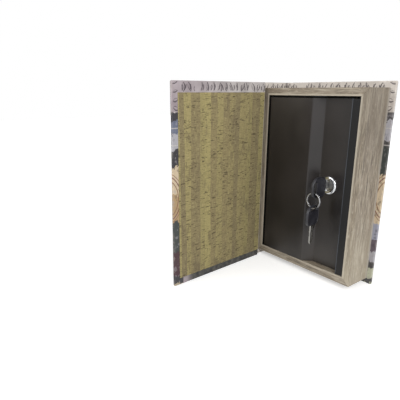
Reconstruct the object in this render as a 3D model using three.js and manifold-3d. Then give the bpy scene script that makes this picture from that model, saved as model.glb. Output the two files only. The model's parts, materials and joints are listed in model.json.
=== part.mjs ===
// A book-shaped safe that stands open: a hardcover book whose page block is a
// wood-grain case round a folded steel box with a locking door.
// Millimetres. X runs from the spine to the fore edge, Y from the reader to the
// back cover, and Z up. The origin is the middle of the back cover's foot.
import * as THREE from 'three';
import * as BufferGeometryUtils from 'three/addons/utils/BufferGeometryUtils.js';
import Module from 'manifold-3d';

const wasm = await Module();
wasm.setup();

// Book and page block
const bookHeight = 240;
const blockHeight = 226;
const blockWidth = 147;
const blockDepth = 40;
const foreSquare = 6;
const headWall = 9;
const foreWall = 9.6;
const spineWall = 7.7;
const backPanel = 2.5;
const glueGap = 0.1;
const seatGap = 0.3;
const mitreGap = 0.15;
const cutOverrun = 1;

// Covers: a board in a printed wrap, whose margins turn in over the board
const boardThickness = 2;
const wrapThickness = 0.4;
const headMargin = 12.5;
const footMargin = 8.7;
const foreMargin = 8.1;
const liningThickness = 0.9;
const liningProud = 0.5;
const closedGap = 0.3;

// Joints of the covers, and how far the front cover stands open
const stripLength = 6.5;
const stripThickness = 0.8;
const creaseGap = 0.4;
const creaseReach = 3.5;
const spineCreaseOpen = 22;
const coverCreaseOpen = 65;

// Spine: a bow in section, with raised bands
const spineRootThickness = 3;
const spineBow = 3.6;
const spineWrapThickness = 0.5;
const spineFrontOverlap = 1.2;
const spineBackOverlap = 0.7;
const bandHeight = 24;
const bandRise = 2.2;
const bandCentreShares = [0.055, 0.325, 0.665, 0.945];
const bowSteps = 14;
const bandSteps = 6;

// Steel box
const sheet = 1.2;
const flangeWidth = 9.9;
const flangeSetBack = 1;
const lipDepth = 13.5;
const lugWidth = 7.2;
const strikeHeight = 28;
const strikeReach = 8.9;
const strikeLeg = 18.3;
const screwHeadRadius = 3.5;
const screwHeadThickness = 1.8;
const screwShankRadius = 1.7;
const screwInset = 18;
const holeClearance = 0.3;

// Door
const doorFootGap = 0.3;
const doorHeadGap = 2.3;
const doorEdgeGap = 1;
const curlFootGap = 0.3;
const curlHeadGap = 1.3;
const curlNotch = 4;
const curlRadius = 2.7;
const curlSideGap = 0.5;
const curlSweep = 285;
const rodRadius = 1.4;
const runningGap = 0.1;
const doorSlantWidth = 10.5;
const panelRecess = 10;
const foldToLock = 14.3;

// Cam lock
const lockInset = 25.4;
const bezelRadius = 10.75;
const bezelProud = 2.3;
const bezelEdge = 1;
const barrelRadius = 8.3;
const camRoom = 3;
const doorHoleRadius = 8.6;
const plugRadius = 6.1;
const plugGap = 0.2;
const plugRecess = 1.1;
const plugTail = 0.5;
const bossRadius = 4;
const bossLength = 2.2;
const nutThickness = 3;
const nutAcrossCorners = 25;
const camThickness = 2;
const camReach = 30.2;
const camHubRadius = 7;
const camTipRadius = 4.6;
const camScrewHeadRadius = 4.6;
const camScrewHeadThickness = 2;
const camScrewShankRadius = 1.9;
const camScrewLength = 4.2;

// Keys
const shoulderGap = 0.4;
const headLength = 24.5;
const headWidth = 25;
const headThickness = 3.6;
const headRoundness = 2.6;
const slotInset = 4.7;
const slotWidth = 5;
const slotLength = 15.2;
const bladeTipRoom = 0.6;
const bladeWidth = 5.6;
const bladeThickness = 2;
const shoulderWidth = 7;
const shoulderLength = 2.2;
const tangLength = 9;
const grooveDepth = 0.5;
const grooveWidth = 1.6;
const keywayGap = 0.2;

// Split ring
const ringRadius = 9.6;
const ringWire = 1.4;
const ringStack = 2;
const ringSlack = 1.25;
const spareSwivel = 7;
const hangGap = 0.6;

const roundSteps = 32;
const rodSteps = 20;

// Places that follow from the sizes above
const coverThickness = boardThickness + 2 * (wrapThickness + glueGap);
const blockFoot = (bookHeight - blockHeight) / 2;
const blockTop = blockFoot + blockHeight;
const foreEdge = blockWidth + foreSquare;
const backCoverMiddle = blockDepth + glueGap + coverThickness / 2;
const frontCoverMiddle = -(closedGap + liningProud + coverThickness / 2);
const creaseX = -creaseReach;
const boardEdge = creaseX + stripLength + creaseGap;
const trayLeft = spineWall + seatGap;
const trayRight = blockWidth - foreWall - seatGap;
const trayFoot = blockFoot + headWall + seatGap;
const trayTop = blockTop - headWall - seatGap;
const trayBack = blockDepth - backPanel - seatGap;
const flangeLeft = trayRight - flangeWidth;
const hingeX = trayLeft + sheet + curlSideGap + curlRadius;
const hingeY = curlRadius;
const doorFoot = trayFoot + doorFootGap;
const doorTop = trayTop - doorHeadGap;
const lockX = flangeLeft - lockInset;
const lockZ = bookHeight / 2;
const doorFrontWidth = lockX - foldToLock - doorSlantWidth - hingeX;
const firstFold = hingeX + doorFrontWidth;
const secondFold = firstFold + doorSlantWidth;
const foldMitre = sheet * Math.tan(Math.atan2(panelRecess, doorSlantWidth) / 2);
const bezelFront = panelRecess - bezelProud;
const barrelLength = trayBack - sheet - camRoom - camScrewHeadThickness - camThickness
  - 2 * plugGap - plugTail - panelRecess;
const barrelEnd = panelRecess + barrelLength;
const bossStart = barrelEnd + plugTail;
const camFront = bossStart + plugGap;
const camBack = camFront + camThickness;
const camScrewStart = camBack - camScrewLength;
const plugFront = bezelFront + plugRecess;
const headInner = plugFront - shoulderGap - (shoulderWidth - bladeWidth / 2) - shoulderLength;
const bladeEnd = camScrewStart - bladeTipRoom;
const bladeLength = bladeEnd - headInner;
const slotY = headInner - headLength + slotInset;
const footX = (boardEdge + foreEdge) / 2;
const radians = THREE.MathUtils.degToRad;

// Materials
const finish = (color, roughness, metalness) =>
  new THREE.MeshStandardMaterial({ color, roughness, metalness });
const printed = finish(0x3d3d40, 0.6, 0);
const greyboard = finish(0xa59c8c, 0.9, 0);
const cork = finish(0x96895a, 0.85, 0);
const woodgrain = finish(0xa39883, 0.6, 0);
const blackSteel = finish(0x3a3634, 0.35, 0.7);
const zincSteel = finish(0xb4b4b0, 0.35, 0.9);
const chrome = finish(0xd8d8d6, 0.15, 1);
const nickel = finish(0xc0bdb4, 0.25, 1);
const plastic = finish(0x26262b, 0.45, 0);

// A closed geometry becomes a solid that can be cut and joined
function solid(geometry) {
  const bare = geometry.clone();
  bare.deleteAttribute('normal');
  bare.deleteAttribute('uv');
  const merged = BufferGeometryUtils.mergeVertices(bare);
  return new wasm.Manifold(new wasm.Mesh({
    numProp: 3,
    vertProperties: new Float32Array(merged.attributes.position.array),
    triVerts: new Uint32Array(merged.index.array),
  }));
}

function named(name, shape, material) {
  const result = shape.getMesh();
  const geometry = new THREE.BufferGeometry();
  geometry.setAttribute('position', new THREE.BufferAttribute(result.vertProperties, 3));
  geometry.setIndex(new THREE.BufferAttribute(result.triVerts, 1));
  const mesh = new THREE.Mesh(geometry, material);
  mesh.name = name;
  return mesh;
}

// A block between two corners
function block(x0, x1, y0, y1, z0, z1) {
  const geometry = new THREE.BoxGeometry(x1 - x0, y1 - y0, z1 - z0);
  geometry.translate((x0 + x1) / 2, (y0 + y1) / 2, (z0 + z1) / 2);
  return solid(geometry);
}

// An outline in X and Y, carried up from z0 to z1
function upright(points, z0, z1) {
  const shape = new THREE.Shape(points.map(([x, y]) => new THREE.Vector2(x, y)));
  const geometry = new THREE.ExtrudeGeometry(shape, { depth: z1 - z0, bevelEnabled: false });
  geometry.translate(0, 0, z0);
  return solid(geometry);
}

// An outline in X and Z, carried back from y0 to y1
function facing(points, y0, y1) {
  const shape = new THREE.Shape(points.map(([x, z]) => new THREE.Vector2(x, z)));
  const geometry = new THREE.ExtrudeGeometry(shape, { depth: y1 - y0, bevelEnabled: false });
  geometry.rotateX(Math.PI / 2);
  geometry.translate(0, y1, 0);
  return solid(geometry);
}

// An outline in Y and Z, as thick as given, centred on x = 0
function sideways(points, thickness) {
  const shape = new THREE.Shape(points.map(([y, z]) => new THREE.Vector2(y, z)));
  const geometry = new THREE.ExtrudeGeometry(shape, { depth: thickness, bevelEnabled: false });
  geometry.rotateX(Math.PI / 2);
  geometry.rotateZ(Math.PI / 2);
  geometry.translate(-thickness / 2, 0, 0);
  return solid(geometry);
}

// A profile of [radius, y] turned about an axis along Y at (x, z)
function turned(profile, x, z, steps = roundSteps) {
  const points = profile.map(([radius, y]) => new THREE.Vector2(radius, y));
  const geometry = new THREE.LatheGeometry(points, steps);
  geometry.translate(x, 0, z);
  const shape = solid(geometry);
  return shape;
}

// A round bar along Y
function barY(radius, y0, y1, x, z, steps = rodSteps) {
  const geometry = new THREE.CylinderGeometry(radius, radius, y1 - y0, steps);
  geometry.translate(x, (y0 + y1) / 2, z);
  return solid(geometry);
}

// A round bar along Z
function barZ(radius, z0, z1, x, y, steps = rodSteps) {
  const geometry = new THREE.CylinderGeometry(radius, radius, z1 - z0, steps);
  geometry.rotateX(Math.PI / 2);
  geometry.translate(x, y, (z0 + z1) / 2);
  return solid(geometry);
}

// Points of an arc, from one angle to another in degrees
function arc(cx, cy, radius, from, to, steps) {
  return Array.from({ length: steps + 1 }, (_, i) => {
    const angle = radians(from + ((to - from) * i) / steps);
    return [cx + radius * Math.cos(angle), cy + radius * Math.sin(angle)];
  });
}

// A skin through a list of level outlines, each with the same number of points
function loft(outlines, levels) {
  const count = outlines[0].length;
  const position = outlines.flatMap((outline, k) => outline.flatMap(([x, y]) => [x, y, levels[k]]));
  const index = [];
  for (let k = 0; k + 1 < outlines.length; k += 1) {
    for (let i = 0; i < count; i += 1) {
      const a = k * count + i;
      const b = k * count + ((i + 1) % count);
      index.push(a, b, b + count, a, b + count, a + count);
    }
  }
  const top = (outlines.length - 1) * count;
  const flat = outlines[0].map(([x, y]) => new THREE.Vector2(x, y));
  for (const [a, b, c] of THREE.ShapeUtils.triangulateShape(flat, [])) {
    index.push(c, b, a, top + a, top + b, top + c);
  }
  const geometry = new THREE.BufferGeometry();
  geometry.setAttribute('position', new THREE.Float32BufferAttribute(position, 3));
  geometry.setIndex(index);
  return solid(geometry);
}

// Covers. Both are drawn with their middle plane at y = 0 and the inner face at +Y.
const innerFace = coverThickness / 2;

function coverWrap(x0, x1) {
  const shell = block(x0, x1, -innerFace, innerFace, 0, bookHeight);
  const room = block(x0 - cutOverrun, x1 - wrapThickness, -innerFace + wrapThickness,
    innerFace - wrapThickness, wrapThickness, bookHeight - wrapThickness);
  const window = block(x0 - cutOverrun, x1 - foreMargin, 0, innerFace + cutOverrun,
    footMargin, bookHeight - headMargin);
  return shell.subtract(room).subtract(window);
}

function coverBoard(x0, x1) {
  const inset = wrapThickness + glueGap;
  return block(x0, x1 - inset, -boardThickness / 2, boardThickness / 2, inset, bookHeight - inset);
}

function coverLining(x0, x1) {
  const seat = boardThickness / 2 + glueGap;
  return block(x0, x1 - foreMargin - glueGap, seat, seat + liningThickness,
    footMargin + glueGap, bookHeight - headMargin - glueGap);
}

function hingeStrip(length) {
  return block(creaseGap, length - creaseGap, -stripThickness / 2, stripThickness / 2,
    0, bookHeight);
}

function backCover() {
  const group = new THREE.Group();
  const turnedRound = (shape) => shape.mirror([0, 1, 0]).translate([0, backCoverMiddle, 0]);
  group.add(
    named('back_cover_wrap', turnedRound(coverWrap(boardEdge, foreEdge)), printed),
    named('back_cover_board', turnedRound(coverBoard(boardEdge, foreEdge)), greyboard),
    named('back_hinge_strip',
      hingeStrip(stripLength).translate([creaseX, backCoverMiddle, 0]), printed),
  );
  return group;
}

// The front cover hangs on the strip, and the strip on the spine
function frontCover() {
  const strip = new THREE.Group();
  strip.position.set(creaseX, frontCoverMiddle, 0);
  strip.rotation.z = -radians(spineCreaseOpen);
  strip.add(named('front_hinge_strip', hingeStrip(stripLength), printed));
  const cover = new THREE.Group();
  cover.position.x = stripLength;
  cover.rotation.z = -radians(coverCreaseOpen);
  const reach = foreEdge - boardEdge + creaseGap;
  cover.add(
    named('front_cover_wrap', coverWrap(creaseGap, reach), printed),
    named('front_cover_board', coverBoard(creaseGap, reach), greyboard),
    named('front_cover_lining', coverLining(creaseGap, reach), cork),
  );
  strip.add(cover);
  return strip;
}

// How far the spine stands out at a height, from its raised bands
function bandLift(z) {
  const lifts = bandCentreShares.map((share) => {
    const away = Math.abs(z - share * bookHeight) / (bandHeight / 2);
    return away < 1 ? bandRise * Math.cos((away * Math.PI) / 2) ** 2 : 0;
  });
  return Math.max(...lifts);
}

// The spine's bow at one height, pushed out by an offset along X
function bowLine(z, offset) {
  const front = -spineFrontOverlap;
  const back = blockDepth + spineBackOverlap;
  return Array.from({ length: bowSteps + 1 }, (_, i) => {
    const share = i / bowSteps;
    const rise = Math.sin(Math.PI * share);
    const x = -seatGap - spineRootThickness - offset - (spineBow + bandLift(z)) * rise;
    return [x, front + (back - front) * share];
  });
}

function spine() {
  const levels = [0, bookHeight];
  for (const share of bandCentreShares) {
    for (let i = 0; i <= bandSteps; i += 1) {
      const z = share * bookHeight + bandHeight * (i / bandSteps - 1 / 2);
      if (z > 0 && z < bookHeight) levels.push(z);
    }
  }
  levels.sort((a, b) => a - b);
  const core = loft(levels.map((z) => {
    const bow = bowLine(z, 0);
    return [[-seatGap, bow[0][1]], [-seatGap, bow[bowSteps][1]], ...bow.reverse()];
  }), levels);
  const wrap = loft(levels.map((z) => [
    ...bowLine(z, seatGap),
    ...bowLine(z, seatGap + spineWrapThickness).reverse(),
  ]), levels);
  const group = new THREE.Group();
  group.add(named('spine_core', core, greyboard), named('spine_wrap', wrap, printed));
  return group;
}

// Page block: four walls that meet in mitres at the corners
function pageBlock() {
  const group = new THREE.Group();
  const left = spineWall;
  const right = blockWidth - foreWall;
  const head = blockTop - headWall;
  const foot = blockFoot + headWall;
  const wall = (name, points) =>
    group.add(named(name, facing(points, 0, blockDepth), woodgrain));
  const across = (outer, inner) => [
    [mitreGap, outer], [blockWidth - mitreGap, outer],
    [right - mitreGap, inner], [left + mitreGap, inner],
  ];
  const along = (outer, inner) => [
    [outer, blockFoot], [outer, blockTop], [inner, head], [inner, foot],
  ];
  wall('page_block_spine_side', along(0, left));
  wall('page_block_fore_edge', along(blockWidth, right));
  wall('page_block_head', across(blockTop, head));
  wall('page_block_foot', across(blockFoot, foot));
  const panel = block(left + glueGap, right - glueGap, blockDepth - backPanel, blockDepth,
    foot + glueGap, head - glueGap);
  const pilots = screwPlaces().map(([x, z]) =>
    barY(screwShankRadius + glueGap, trayBack, blockDepth + cutOverrun, x, z));
  group.add(named('page_block_back', pilots.reduce((a, b) => a.subtract(b), panel), greyboard));
  return group;
}

function screwPlaces() {
  const xs = [trayLeft + screwInset, trayRight - screwInset];
  const zs = [trayFoot + screwInset, trayTop - screwInset];
  return xs.flatMap((x) => zs.map((z) => [x, z]));
}

// The tray's head and foot stand back behind the door, but for the lugs of the rod
function steelBox() {
  const lugEdge = trayLeft + lugWidth;
  const lipEnd = lipDepth + seatGap;
  const standBack = upright([
    [lugEdge, -cutOverrun],
    [trayRight + cutOverrun, -cutOverrun],
    [trayRight + cutOverrun, flangeSetBack],
    [trayRight - sheet, flangeSetBack],
    [trayRight - sheet, lipEnd],
    [flangeLeft - seatGap, lipEnd],
    [flangeLeft - seatGap, panelRecess + sheet + seatGap],
    [secondFold - foldMitre, panelRecess + sheet + seatGap],
    [firstFold - foldMitre, sheet + seatGap],
    [lugEdge, sheet + seatGap],
  ], trayFoot - cutOverrun, trayTop + cutOverrun);
  const z0 = trayFoot + seatGap;
  const z1 = doorTop;
  const flangeFace = flangeSetBack + sheet;
  let tray = block(trayLeft, trayRight, 0, trayBack, trayFoot, trayTop)
    .subtract(block(trayLeft + sheet, trayRight - sheet, -cutOverrun, trayBack - sheet,
      trayFoot + sheet, trayTop - sheet))
    .subtract(standBack)
    .add(block(flangeLeft, trayRight, flangeSetBack, flangeFace, z0, z1))
    .add(block(flangeLeft, flangeLeft + sheet, flangeSetBack, lipDepth, z0, z1))
    .subtract(barZ(rodRadius + runningGap / 2, trayFoot - cutOverrun, trayTop + cutOverrun,
      hingeX, hingeY));
  for (const [x, z] of screwPlaces()) {
    tray = tray.subtract(barY(screwShankRadius + holeClearance, trayBack - sheet - cutOverrun,
      trayBack + cutOverrun, x, z));
  }
  const screws = screwPlaces().map(([x, z], i) => {
    const seat = trayBack - sheet - glueGap;
    const screw = barY(screwHeadRadius, seat - screwHeadThickness, seat, x, z)
      .add(barY(screwShankRadius, seat - screwHeadThickness / 2, blockDepth, x, z));
    return named(`tray_screw_${i + 1}`, screw, zincSteel);
  });
  const wallFace = trayRight - sheet - seatGap;
  const strikeBack = camFront - seatGap;
  const strikeFoot = lockZ - strikeHeight / 2;
  const strikeTop = lockZ + strikeHeight / 2;
  const strike = block(wallFace - sheet, wallFace, strikeBack - strikeLeg, strikeBack,
    strikeFoot, strikeTop)
    .add(block(wallFace - strikeReach, wallFace, strikeBack - sheet, strikeBack,
      strikeFoot, strikeTop));
  const group = new THREE.Group();
  group.add(
    named('steel_tray', tray, blackSteel),
    ...screws,
    named('strike_bracket', strike, blackSteel),
    named('hinge_rod', barZ(rodRadius, trayFoot, trayTop, hingeX, hingeY), zincSteel),
  );
  return group;
}

// The door's sheet in section: rolled round the rod, flat, slanted back, flat again
function doorOutline() {
  const edge = flangeLeft - doorEdgeGap;
  const outside = arc(hingeX, hingeY, curlRadius, -90, -90 - curlSweep, rodSteps);
  const inside = arc(hingeX, hingeY, curlRadius - sheet, -90 - curlSweep, -90, rodSteps);
  return [
    [edge, panelRecess + sheet],
    [edge, panelRecess],
    [secondFold, panelRecess],
    [firstFold, 0],
    ...outside,
    ...inside,
    [firstFold - foldMitre, sheet],
    [secondFold - foldMitre, panelRecess + sheet],
  ];
}

function lockParts() {
  const bezel = turned([
    [plugRadius + plugGap, bezelFront + bezelEdge],
    [barrelRadius, bezelFront + bezelEdge / 2],
    [bezelRadius - 2 * bezelEdge, bezelFront],
    [bezelRadius - bezelEdge / 2, bezelFront + bezelEdge / 4],
    [bezelRadius, bezelFront + bezelEdge],
    [bezelRadius, panelRecess - glueGap],
    [barrelRadius, panelRecess - glueGap],
    [barrelRadius, barrelEnd],
    [plugRadius + plugGap, barrelEnd],
    [plugRadius + plugGap, bezelFront + bezelEdge],
  ], lockX, lockZ);
  const nutFront = panelRecess + sheet + glueGap;
  const corners = arc(lockX, lockZ, nutAcrossCorners / 2, 0, 300, 5);
  const nut = facing(corners, nutFront, nutFront + nutThickness)
    .subtract(barY(barrelRadius + runningGap, nutFront - cutOverrun,
      nutFront + nutThickness + cutOverrun, lockX, lockZ, roundSteps));
  return [named('lock_body', bezel, chrome), named('lock_nut', nut, zincSteel)];
}

function plugParts() {
  const halfWay = bladeWidth / 2 + keywayGap;
  const slit = bladeThickness / 2 + keywayGap;
  const plug = barY(plugRadius, plugFront, bossStart, lockX, lockZ, roundSteps)
    .add(barY(bossRadius, bossStart - cutOverrun, bossStart + bossLength, lockX, lockZ))
    .subtract(block(lockX - slit, lockX + slit, plugFront - cutOverrun, bladeEnd + keywayGap,
      lockZ - halfWay, lockZ + halfWay))
    .subtract(barY(camScrewShankRadius + runningGap, camScrewStart, camBack + cutOverrun,
      lockX, lockZ));
  const rim = [
    ...arc(lockX, lockZ, camHubRadius, 0, 180, rodSteps),
    ...arc(lockX, lockZ - camReach + camTipRadius, camTipRadius, 180, 360, rodSteps / 2),
  ];
  const cam = facing(rim, camFront, camBack)
    .subtract(barY(bossRadius + runningGap, camFront - cutOverrun, camBack + cutOverrun,
      lockX, lockZ));
  const seat = camBack + plugGap;
  const screw = barY(camScrewHeadRadius, seat, seat + camScrewHeadThickness, lockX, lockZ)
    .add(barY(camScrewShankRadius, camScrewStart + plugGap, seat + camScrewHeadThickness / 2,
      lockX, lockZ));
  return [
    named('lock_plug', plug, nickel),
    named('lock_cam', cam, zincSteel),
    named('cam_screw', screw, zincSteel),
  ];
}

// A key lying along +Y from the middle of its slot, with the blade ahead of it
function keyParts(prefix) {
  const headStart = -slotInset;
  const headEnd = headStart + headLength;
  const middle = (headStart + headEnd) / 2;
  const oval = Array.from({ length: roundSteps }, (_, i) => {
    const angle = (2 * Math.PI * i) / roundSteps;
    const bulge = (value) => Math.sign(value) * Math.abs(value) ** (2 / headRoundness);
    return [
      middle + (headLength / 2) * bulge(Math.cos(angle)),
      (headWidth / 2) * bulge(Math.sin(angle)),
    ];
  });
  const slotEnd = slotWidth / 2;
  const slotMiddle = slotLength / 2 - slotEnd;
  const slot = sideways([
    ...arc(0, slotMiddle, slotEnd, 0, 180, rodSteps / 2),
    ...arc(0, -slotMiddle, slotEnd, 180, 360, rodSteps / 2),
  ], headThickness + 2 * cutOverrun);
  const half = bladeWidth / 2;
  const tip = headEnd + bladeLength;
  const tangStart = headEnd - tangLength;
  const pocket = block(
    -bladeThickness / 2 - glueGap, bladeThickness / 2 + glueGap,
    tangStart - glueGap, headEnd + cutOverrun, -half - glueGap, half + glueGap,
  );
  const blade = sideways([
    [tangStart, -half],
    [tip - half / 2, -half],
    [tip, -half / 2],
    [tip, half / 2],
    [tip - half / 2, half],
    [headEnd + shoulderLength + shoulderWidth - half, half],
    [headEnd + shoulderLength, shoulderWidth],
    [headEnd + glueGap, shoulderWidth],
    [headEnd + glueGap, half],
    [tangStart, half],
  ], bladeThickness);
  const groove = block(
    bladeThickness / 2 - grooveDepth, bladeThickness,
    headEnd + shoulderLength, tip + cutOverrun, -grooveWidth / 2, grooveWidth / 2,
  );
  return [
    named(`${prefix}_head`, sideways(oval, headThickness).subtract(slot).subtract(pocket), plastic),
    named(`${prefix}_blade`, blade.subtract(groove), nickel),
  ];
}

// The ring hangs through the key's slot, and the spare key through the ring
function keyRing() {
  const inner = ringRadius - ringWire;
  const group = new THREE.Group();
  group.position.z = -(slotLength / 2 + inner) + ringSlack;
  const edge = ringWire / 4;
  group.add(named('split_ring', turned([
    [inner, edge - ringStack / 2],
    [inner + edge, -ringStack / 2],
    [ringRadius - edge, -ringStack / 2],
    [ringRadius, edge - ringStack / 2],
    [ringRadius, ringStack / 2 - edge],
    [ringRadius - edge, ringStack / 2],
    [inner + edge, ringStack / 2],
    [inner, ringStack / 2 - edge],
    [inner, edge - ringStack / 2],
  ], 0, 0), chrome));
  const spare = new THREE.Group();
  spare.position.z = -inner + hangGap - slotWidth / 2;
  spare.rotation.set(-Math.PI / 2, 0, radians(spareSwivel), 'ZYX');
  spare.add(...keyParts('spare_key'));
  group.add(spare);
  return group;
}

// The rolled edge is shorter than the sheet, so that it runs between the tray's lugs
function door() {
  const rolled = (z0, z1) => block(trayLeft, hingeX + curlNotch, -cutOverrun, trayBack, z0, z1);
  const outline = upright(doorOutline(), doorFoot, doorTop)
    .subtract(rolled(0, trayFoot + sheet + curlFootGap))
    .subtract(rolled(trayTop - sheet - curlHeadGap, bookHeight));
  const hole = barY(doorHoleRadius, panelRecess - cutOverrun, panelRecess + sheet + cutOverrun,
    lockX, lockZ, roundSteps);
  const key = new THREE.Group();
  key.position.set(lockX, slotY, lockZ);
  key.add(...keyParts('key'), keyRing());
  const group = new THREE.Group();
  group.add(named('steel_door', outline.subtract(hole), blackSteel),
    ...lockParts(), ...plugParts(), key);
  return group;
}

const book = new THREE.Group();
book.position.set(-footX, -backCoverMiddle, 0);
book.add(backCover(), spine(), pageBlock(), steelBox(), door(), frontCover());

export default new THREE.Group().add(book);
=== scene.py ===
# %% [markdown]
# # A book that hides a steel box
#
# The object is a hardcover book that stands open. Its page block is a case of
# fibreboard in wood-grain foil, and in the case sits a folded steel box with a
# door, a small cam lock and two keys on a split ring. The solids of the book
# come in as a fixed frame. This file dresses them: it swaps plain solids for
# finely made pieces, gives every surface its finish, and lights a photograph.

# %% Load the frame
import json
import math

import bmesh
import bpy
import numpy as np
from mathutils import Matrix, Vector


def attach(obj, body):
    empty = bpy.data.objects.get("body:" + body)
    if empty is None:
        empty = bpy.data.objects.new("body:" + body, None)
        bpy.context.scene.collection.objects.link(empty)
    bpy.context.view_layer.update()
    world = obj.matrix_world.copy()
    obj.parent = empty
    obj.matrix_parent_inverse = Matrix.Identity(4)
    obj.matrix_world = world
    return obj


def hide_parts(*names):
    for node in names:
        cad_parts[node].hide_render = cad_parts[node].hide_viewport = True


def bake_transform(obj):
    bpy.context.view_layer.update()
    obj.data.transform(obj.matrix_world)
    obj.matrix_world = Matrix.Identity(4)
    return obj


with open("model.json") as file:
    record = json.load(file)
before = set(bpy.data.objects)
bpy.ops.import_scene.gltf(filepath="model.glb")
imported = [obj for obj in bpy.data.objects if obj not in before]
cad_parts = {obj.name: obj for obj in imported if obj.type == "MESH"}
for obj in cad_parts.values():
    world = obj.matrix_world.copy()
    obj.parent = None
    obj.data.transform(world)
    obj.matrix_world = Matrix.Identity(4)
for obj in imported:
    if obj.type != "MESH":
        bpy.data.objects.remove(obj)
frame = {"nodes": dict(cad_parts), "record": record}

mm = 0.001
scene = bpy.context.scene
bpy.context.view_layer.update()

# %% [markdown]
# ## Places read from the frame
#
# A piece that replaces a solid has to stand exactly where the solid stands. So
# sizes are read from the frame instead of being typed again. Two pieces are
# turned: the front cover, which stands open by the sum of its two creases, and
# the spare key, which hangs on the ring. For these, a box is measured along
# their own axes.


# %% Measure a solid along any axes
def measure(node, place=Matrix()):
    """Lowest and highest corner of a solid, seen along the axes of a place."""
    solid = frame["nodes"][node]
    inverse = place.inverted()
    points = np.array([inverse @ vertex.co for vertex in solid.data.vertices])
    return Vector(points.min(axis=0)), Vector(points.max(axis=0))


def joint(name):
    return next(j for j in frame["record"]["behaviour"]["joints"] if j["name"] == name)


strip_angle = math.radians(joint("spine_crease")["range_deg"][0])
cover_angle = strip_angle + math.radians(joint("cover_crease")["range_deg"][0])
spine_pivot = Vector((*joint("spine_crease")["pos_m"][:2], 0))
cover_pivot = Vector((*joint("cover_crease")["pos_m"][:2], 0))
cover_place = Matrix.Translation(cover_pivot) @ Matrix.Rotation(cover_angle, 4, "Z")
print("front cover stands open by", round(-math.degrees(cover_angle), 1), "degrees")

# %% [markdown]
# ## Ways to make a mesh
#
# Sheet metal, plates and turned parts need few tools. A turned part is a
# profile spun round an axis. A plate is a filled outline that a curve object
# thickens, and its bevel rounds the rim, which every cut or moulded edge has. A
# folded sheet is a path with arcs at its bends, set off to both sides. Each
# helper returns a finished mesh, so that what is rendered is plain geometry.


# %% Put a mesh in the scene
sharp_angle = 32


def add_mesh(name, points, faces, finish, smooth=sharp_angle):
    """A mesh object. Edges that turn by more degrees than the angle stay sharp."""
    mesh = bpy.data.meshes.new(name)
    mesh.from_pydata([tuple(point) for point in points], [], faces)
    piece = bpy.data.objects.new(name, mesh)
    scene.collection.objects.link(piece)
    mesh.materials.append(finish)
    tidy_mesh(piece, smooth)
    return piece


def tidy_mesh(piece, smooth=sharp_angle):
    """Joins doubled points, turns the faces outwards and smooths the soft edges."""
    seam = 0.001 * mm
    work = bmesh.new()
    work.from_mesh(piece.data)
    bmesh.ops.remove_doubles(work, verts=work.verts, dist=seam)
    bmesh.ops.dissolve_degenerate(work, edges=work.edges, dist=seam)
    bmesh.ops.recalc_face_normals(work, faces=work.faces)
    work.to_mesh(piece.data)
    work.free()
    piece.data.shade_smooth()
    piece.data.set_sharp_from_angle(angle=math.radians(smooth))


def settle(piece, smooth=sharp_angle):
    """Turns a piece's modifiers, or its curve, into a plain mesh."""
    seen = piece.evaluated_get(bpy.context.evaluated_depsgraph_get())
    mesh = bpy.data.meshes.new_from_object(seen)
    finishes = [slot.material for slot in piece.material_slots]
    made = bpy.data.objects.new(piece.name, mesh)
    made.matrix_world = piece.matrix_world.copy()
    name = piece.name
    bpy.data.objects.remove(piece)
    made.name = name
    scene.collection.objects.link(made)
    mesh.materials.clear()
    for finish in finishes:
        mesh.materials.append(finish)
    tidy_mesh(made, smooth)
    return made


def cut(piece, cutter, smooth=sharp_angle):
    """Cuts one piece's shape out of another."""
    step = piece.modifiers.new("cut", "BOOLEAN")
    step.operation = "DIFFERENCE"
    step.solver = "EXACT"
    step.object = cutter
    made = settle(piece, smooth)
    bpy.data.objects.remove(cutter)
    return made


# %% Turn a profile, thicken an outline, sweep a section
def turned(name, profile, place, finish, steps=96):
    """Spins a closed profile of (radius, height) round the Z axis of a place."""
    points, faces = [], []
    rows = len(profile)
    for i in range(steps):
        angle = 2 * math.pi * i / steps
        for radius, height in profile:
            spot = Vector((radius * math.cos(angle), radius * math.sin(angle), height))
            points.append(place @ spot)
        for k in range(rows):
            if profile[k][0] == profile[(k + 1) % rows][0] == 0:
                continue
            a, b = i * rows + k, i * rows + (k + 1) % rows
            c, d = (i + 1) % steps * rows + (k + 1) % rows, (i + 1) % steps * rows + k
            faces.append((a, b, c, d))
    return add_mesh(name, points, faces, finish)


def plate(name, outlines, thickness, rim, place, finish, smooth=sharp_angle):
    """Thickens filled outlines by half each way along Z, with a rounded rim."""
    curve = bpy.data.curves.new(name, "CURVE")
    curve.dimensions = "2D"
    curve.fill_mode = "BOTH"
    curve.extrude = thickness / 2 - rim
    curve.bevel_depth = rim
    curve.bevel_resolution = 2
    curve.offset = -rim
    for outline in outlines:
        spline = curve.splines.new("POLY")
        spline.points.add(len(outline) - 1)
        for point, (x, y) in zip(spline.points, outline):
            point.co = (x, y, 0, 1)
        spline.use_cyclic_u = True
    piece = bpy.data.objects.new(name, curve)
    scene.collection.objects.link(piece)
    curve.materials.append(finish)
    made = settle(piece, smooth)
    made.data.transform(place)
    return made


def prism(name, outline, low, high, finish, place=Matrix()):
    """Carries a closed outline in X and Y up from one height to another."""
    count = len(outline)
    points = [place @ Vector((x, y, z)) for z in (low, high) for x, y in outline]
    faces = [(i, (i + 1) % count, count + (i + 1) % count, count + i) for i in range(count)]
    faces += [tuple(range(count)), tuple(range(count, 2 * count))]
    return add_mesh(name, points, faces, finish)


def arc(centre, radius, start, end, steps):
    """Points along an arc, from one angle to another in degrees."""
    angles = [math.radians(start + (end - start) * i / steps) for i in range(steps + 1)]
    return [(centre[0] + radius * math.cos(a), centre[1] + radius * math.sin(a)) for a in angles]


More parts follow.
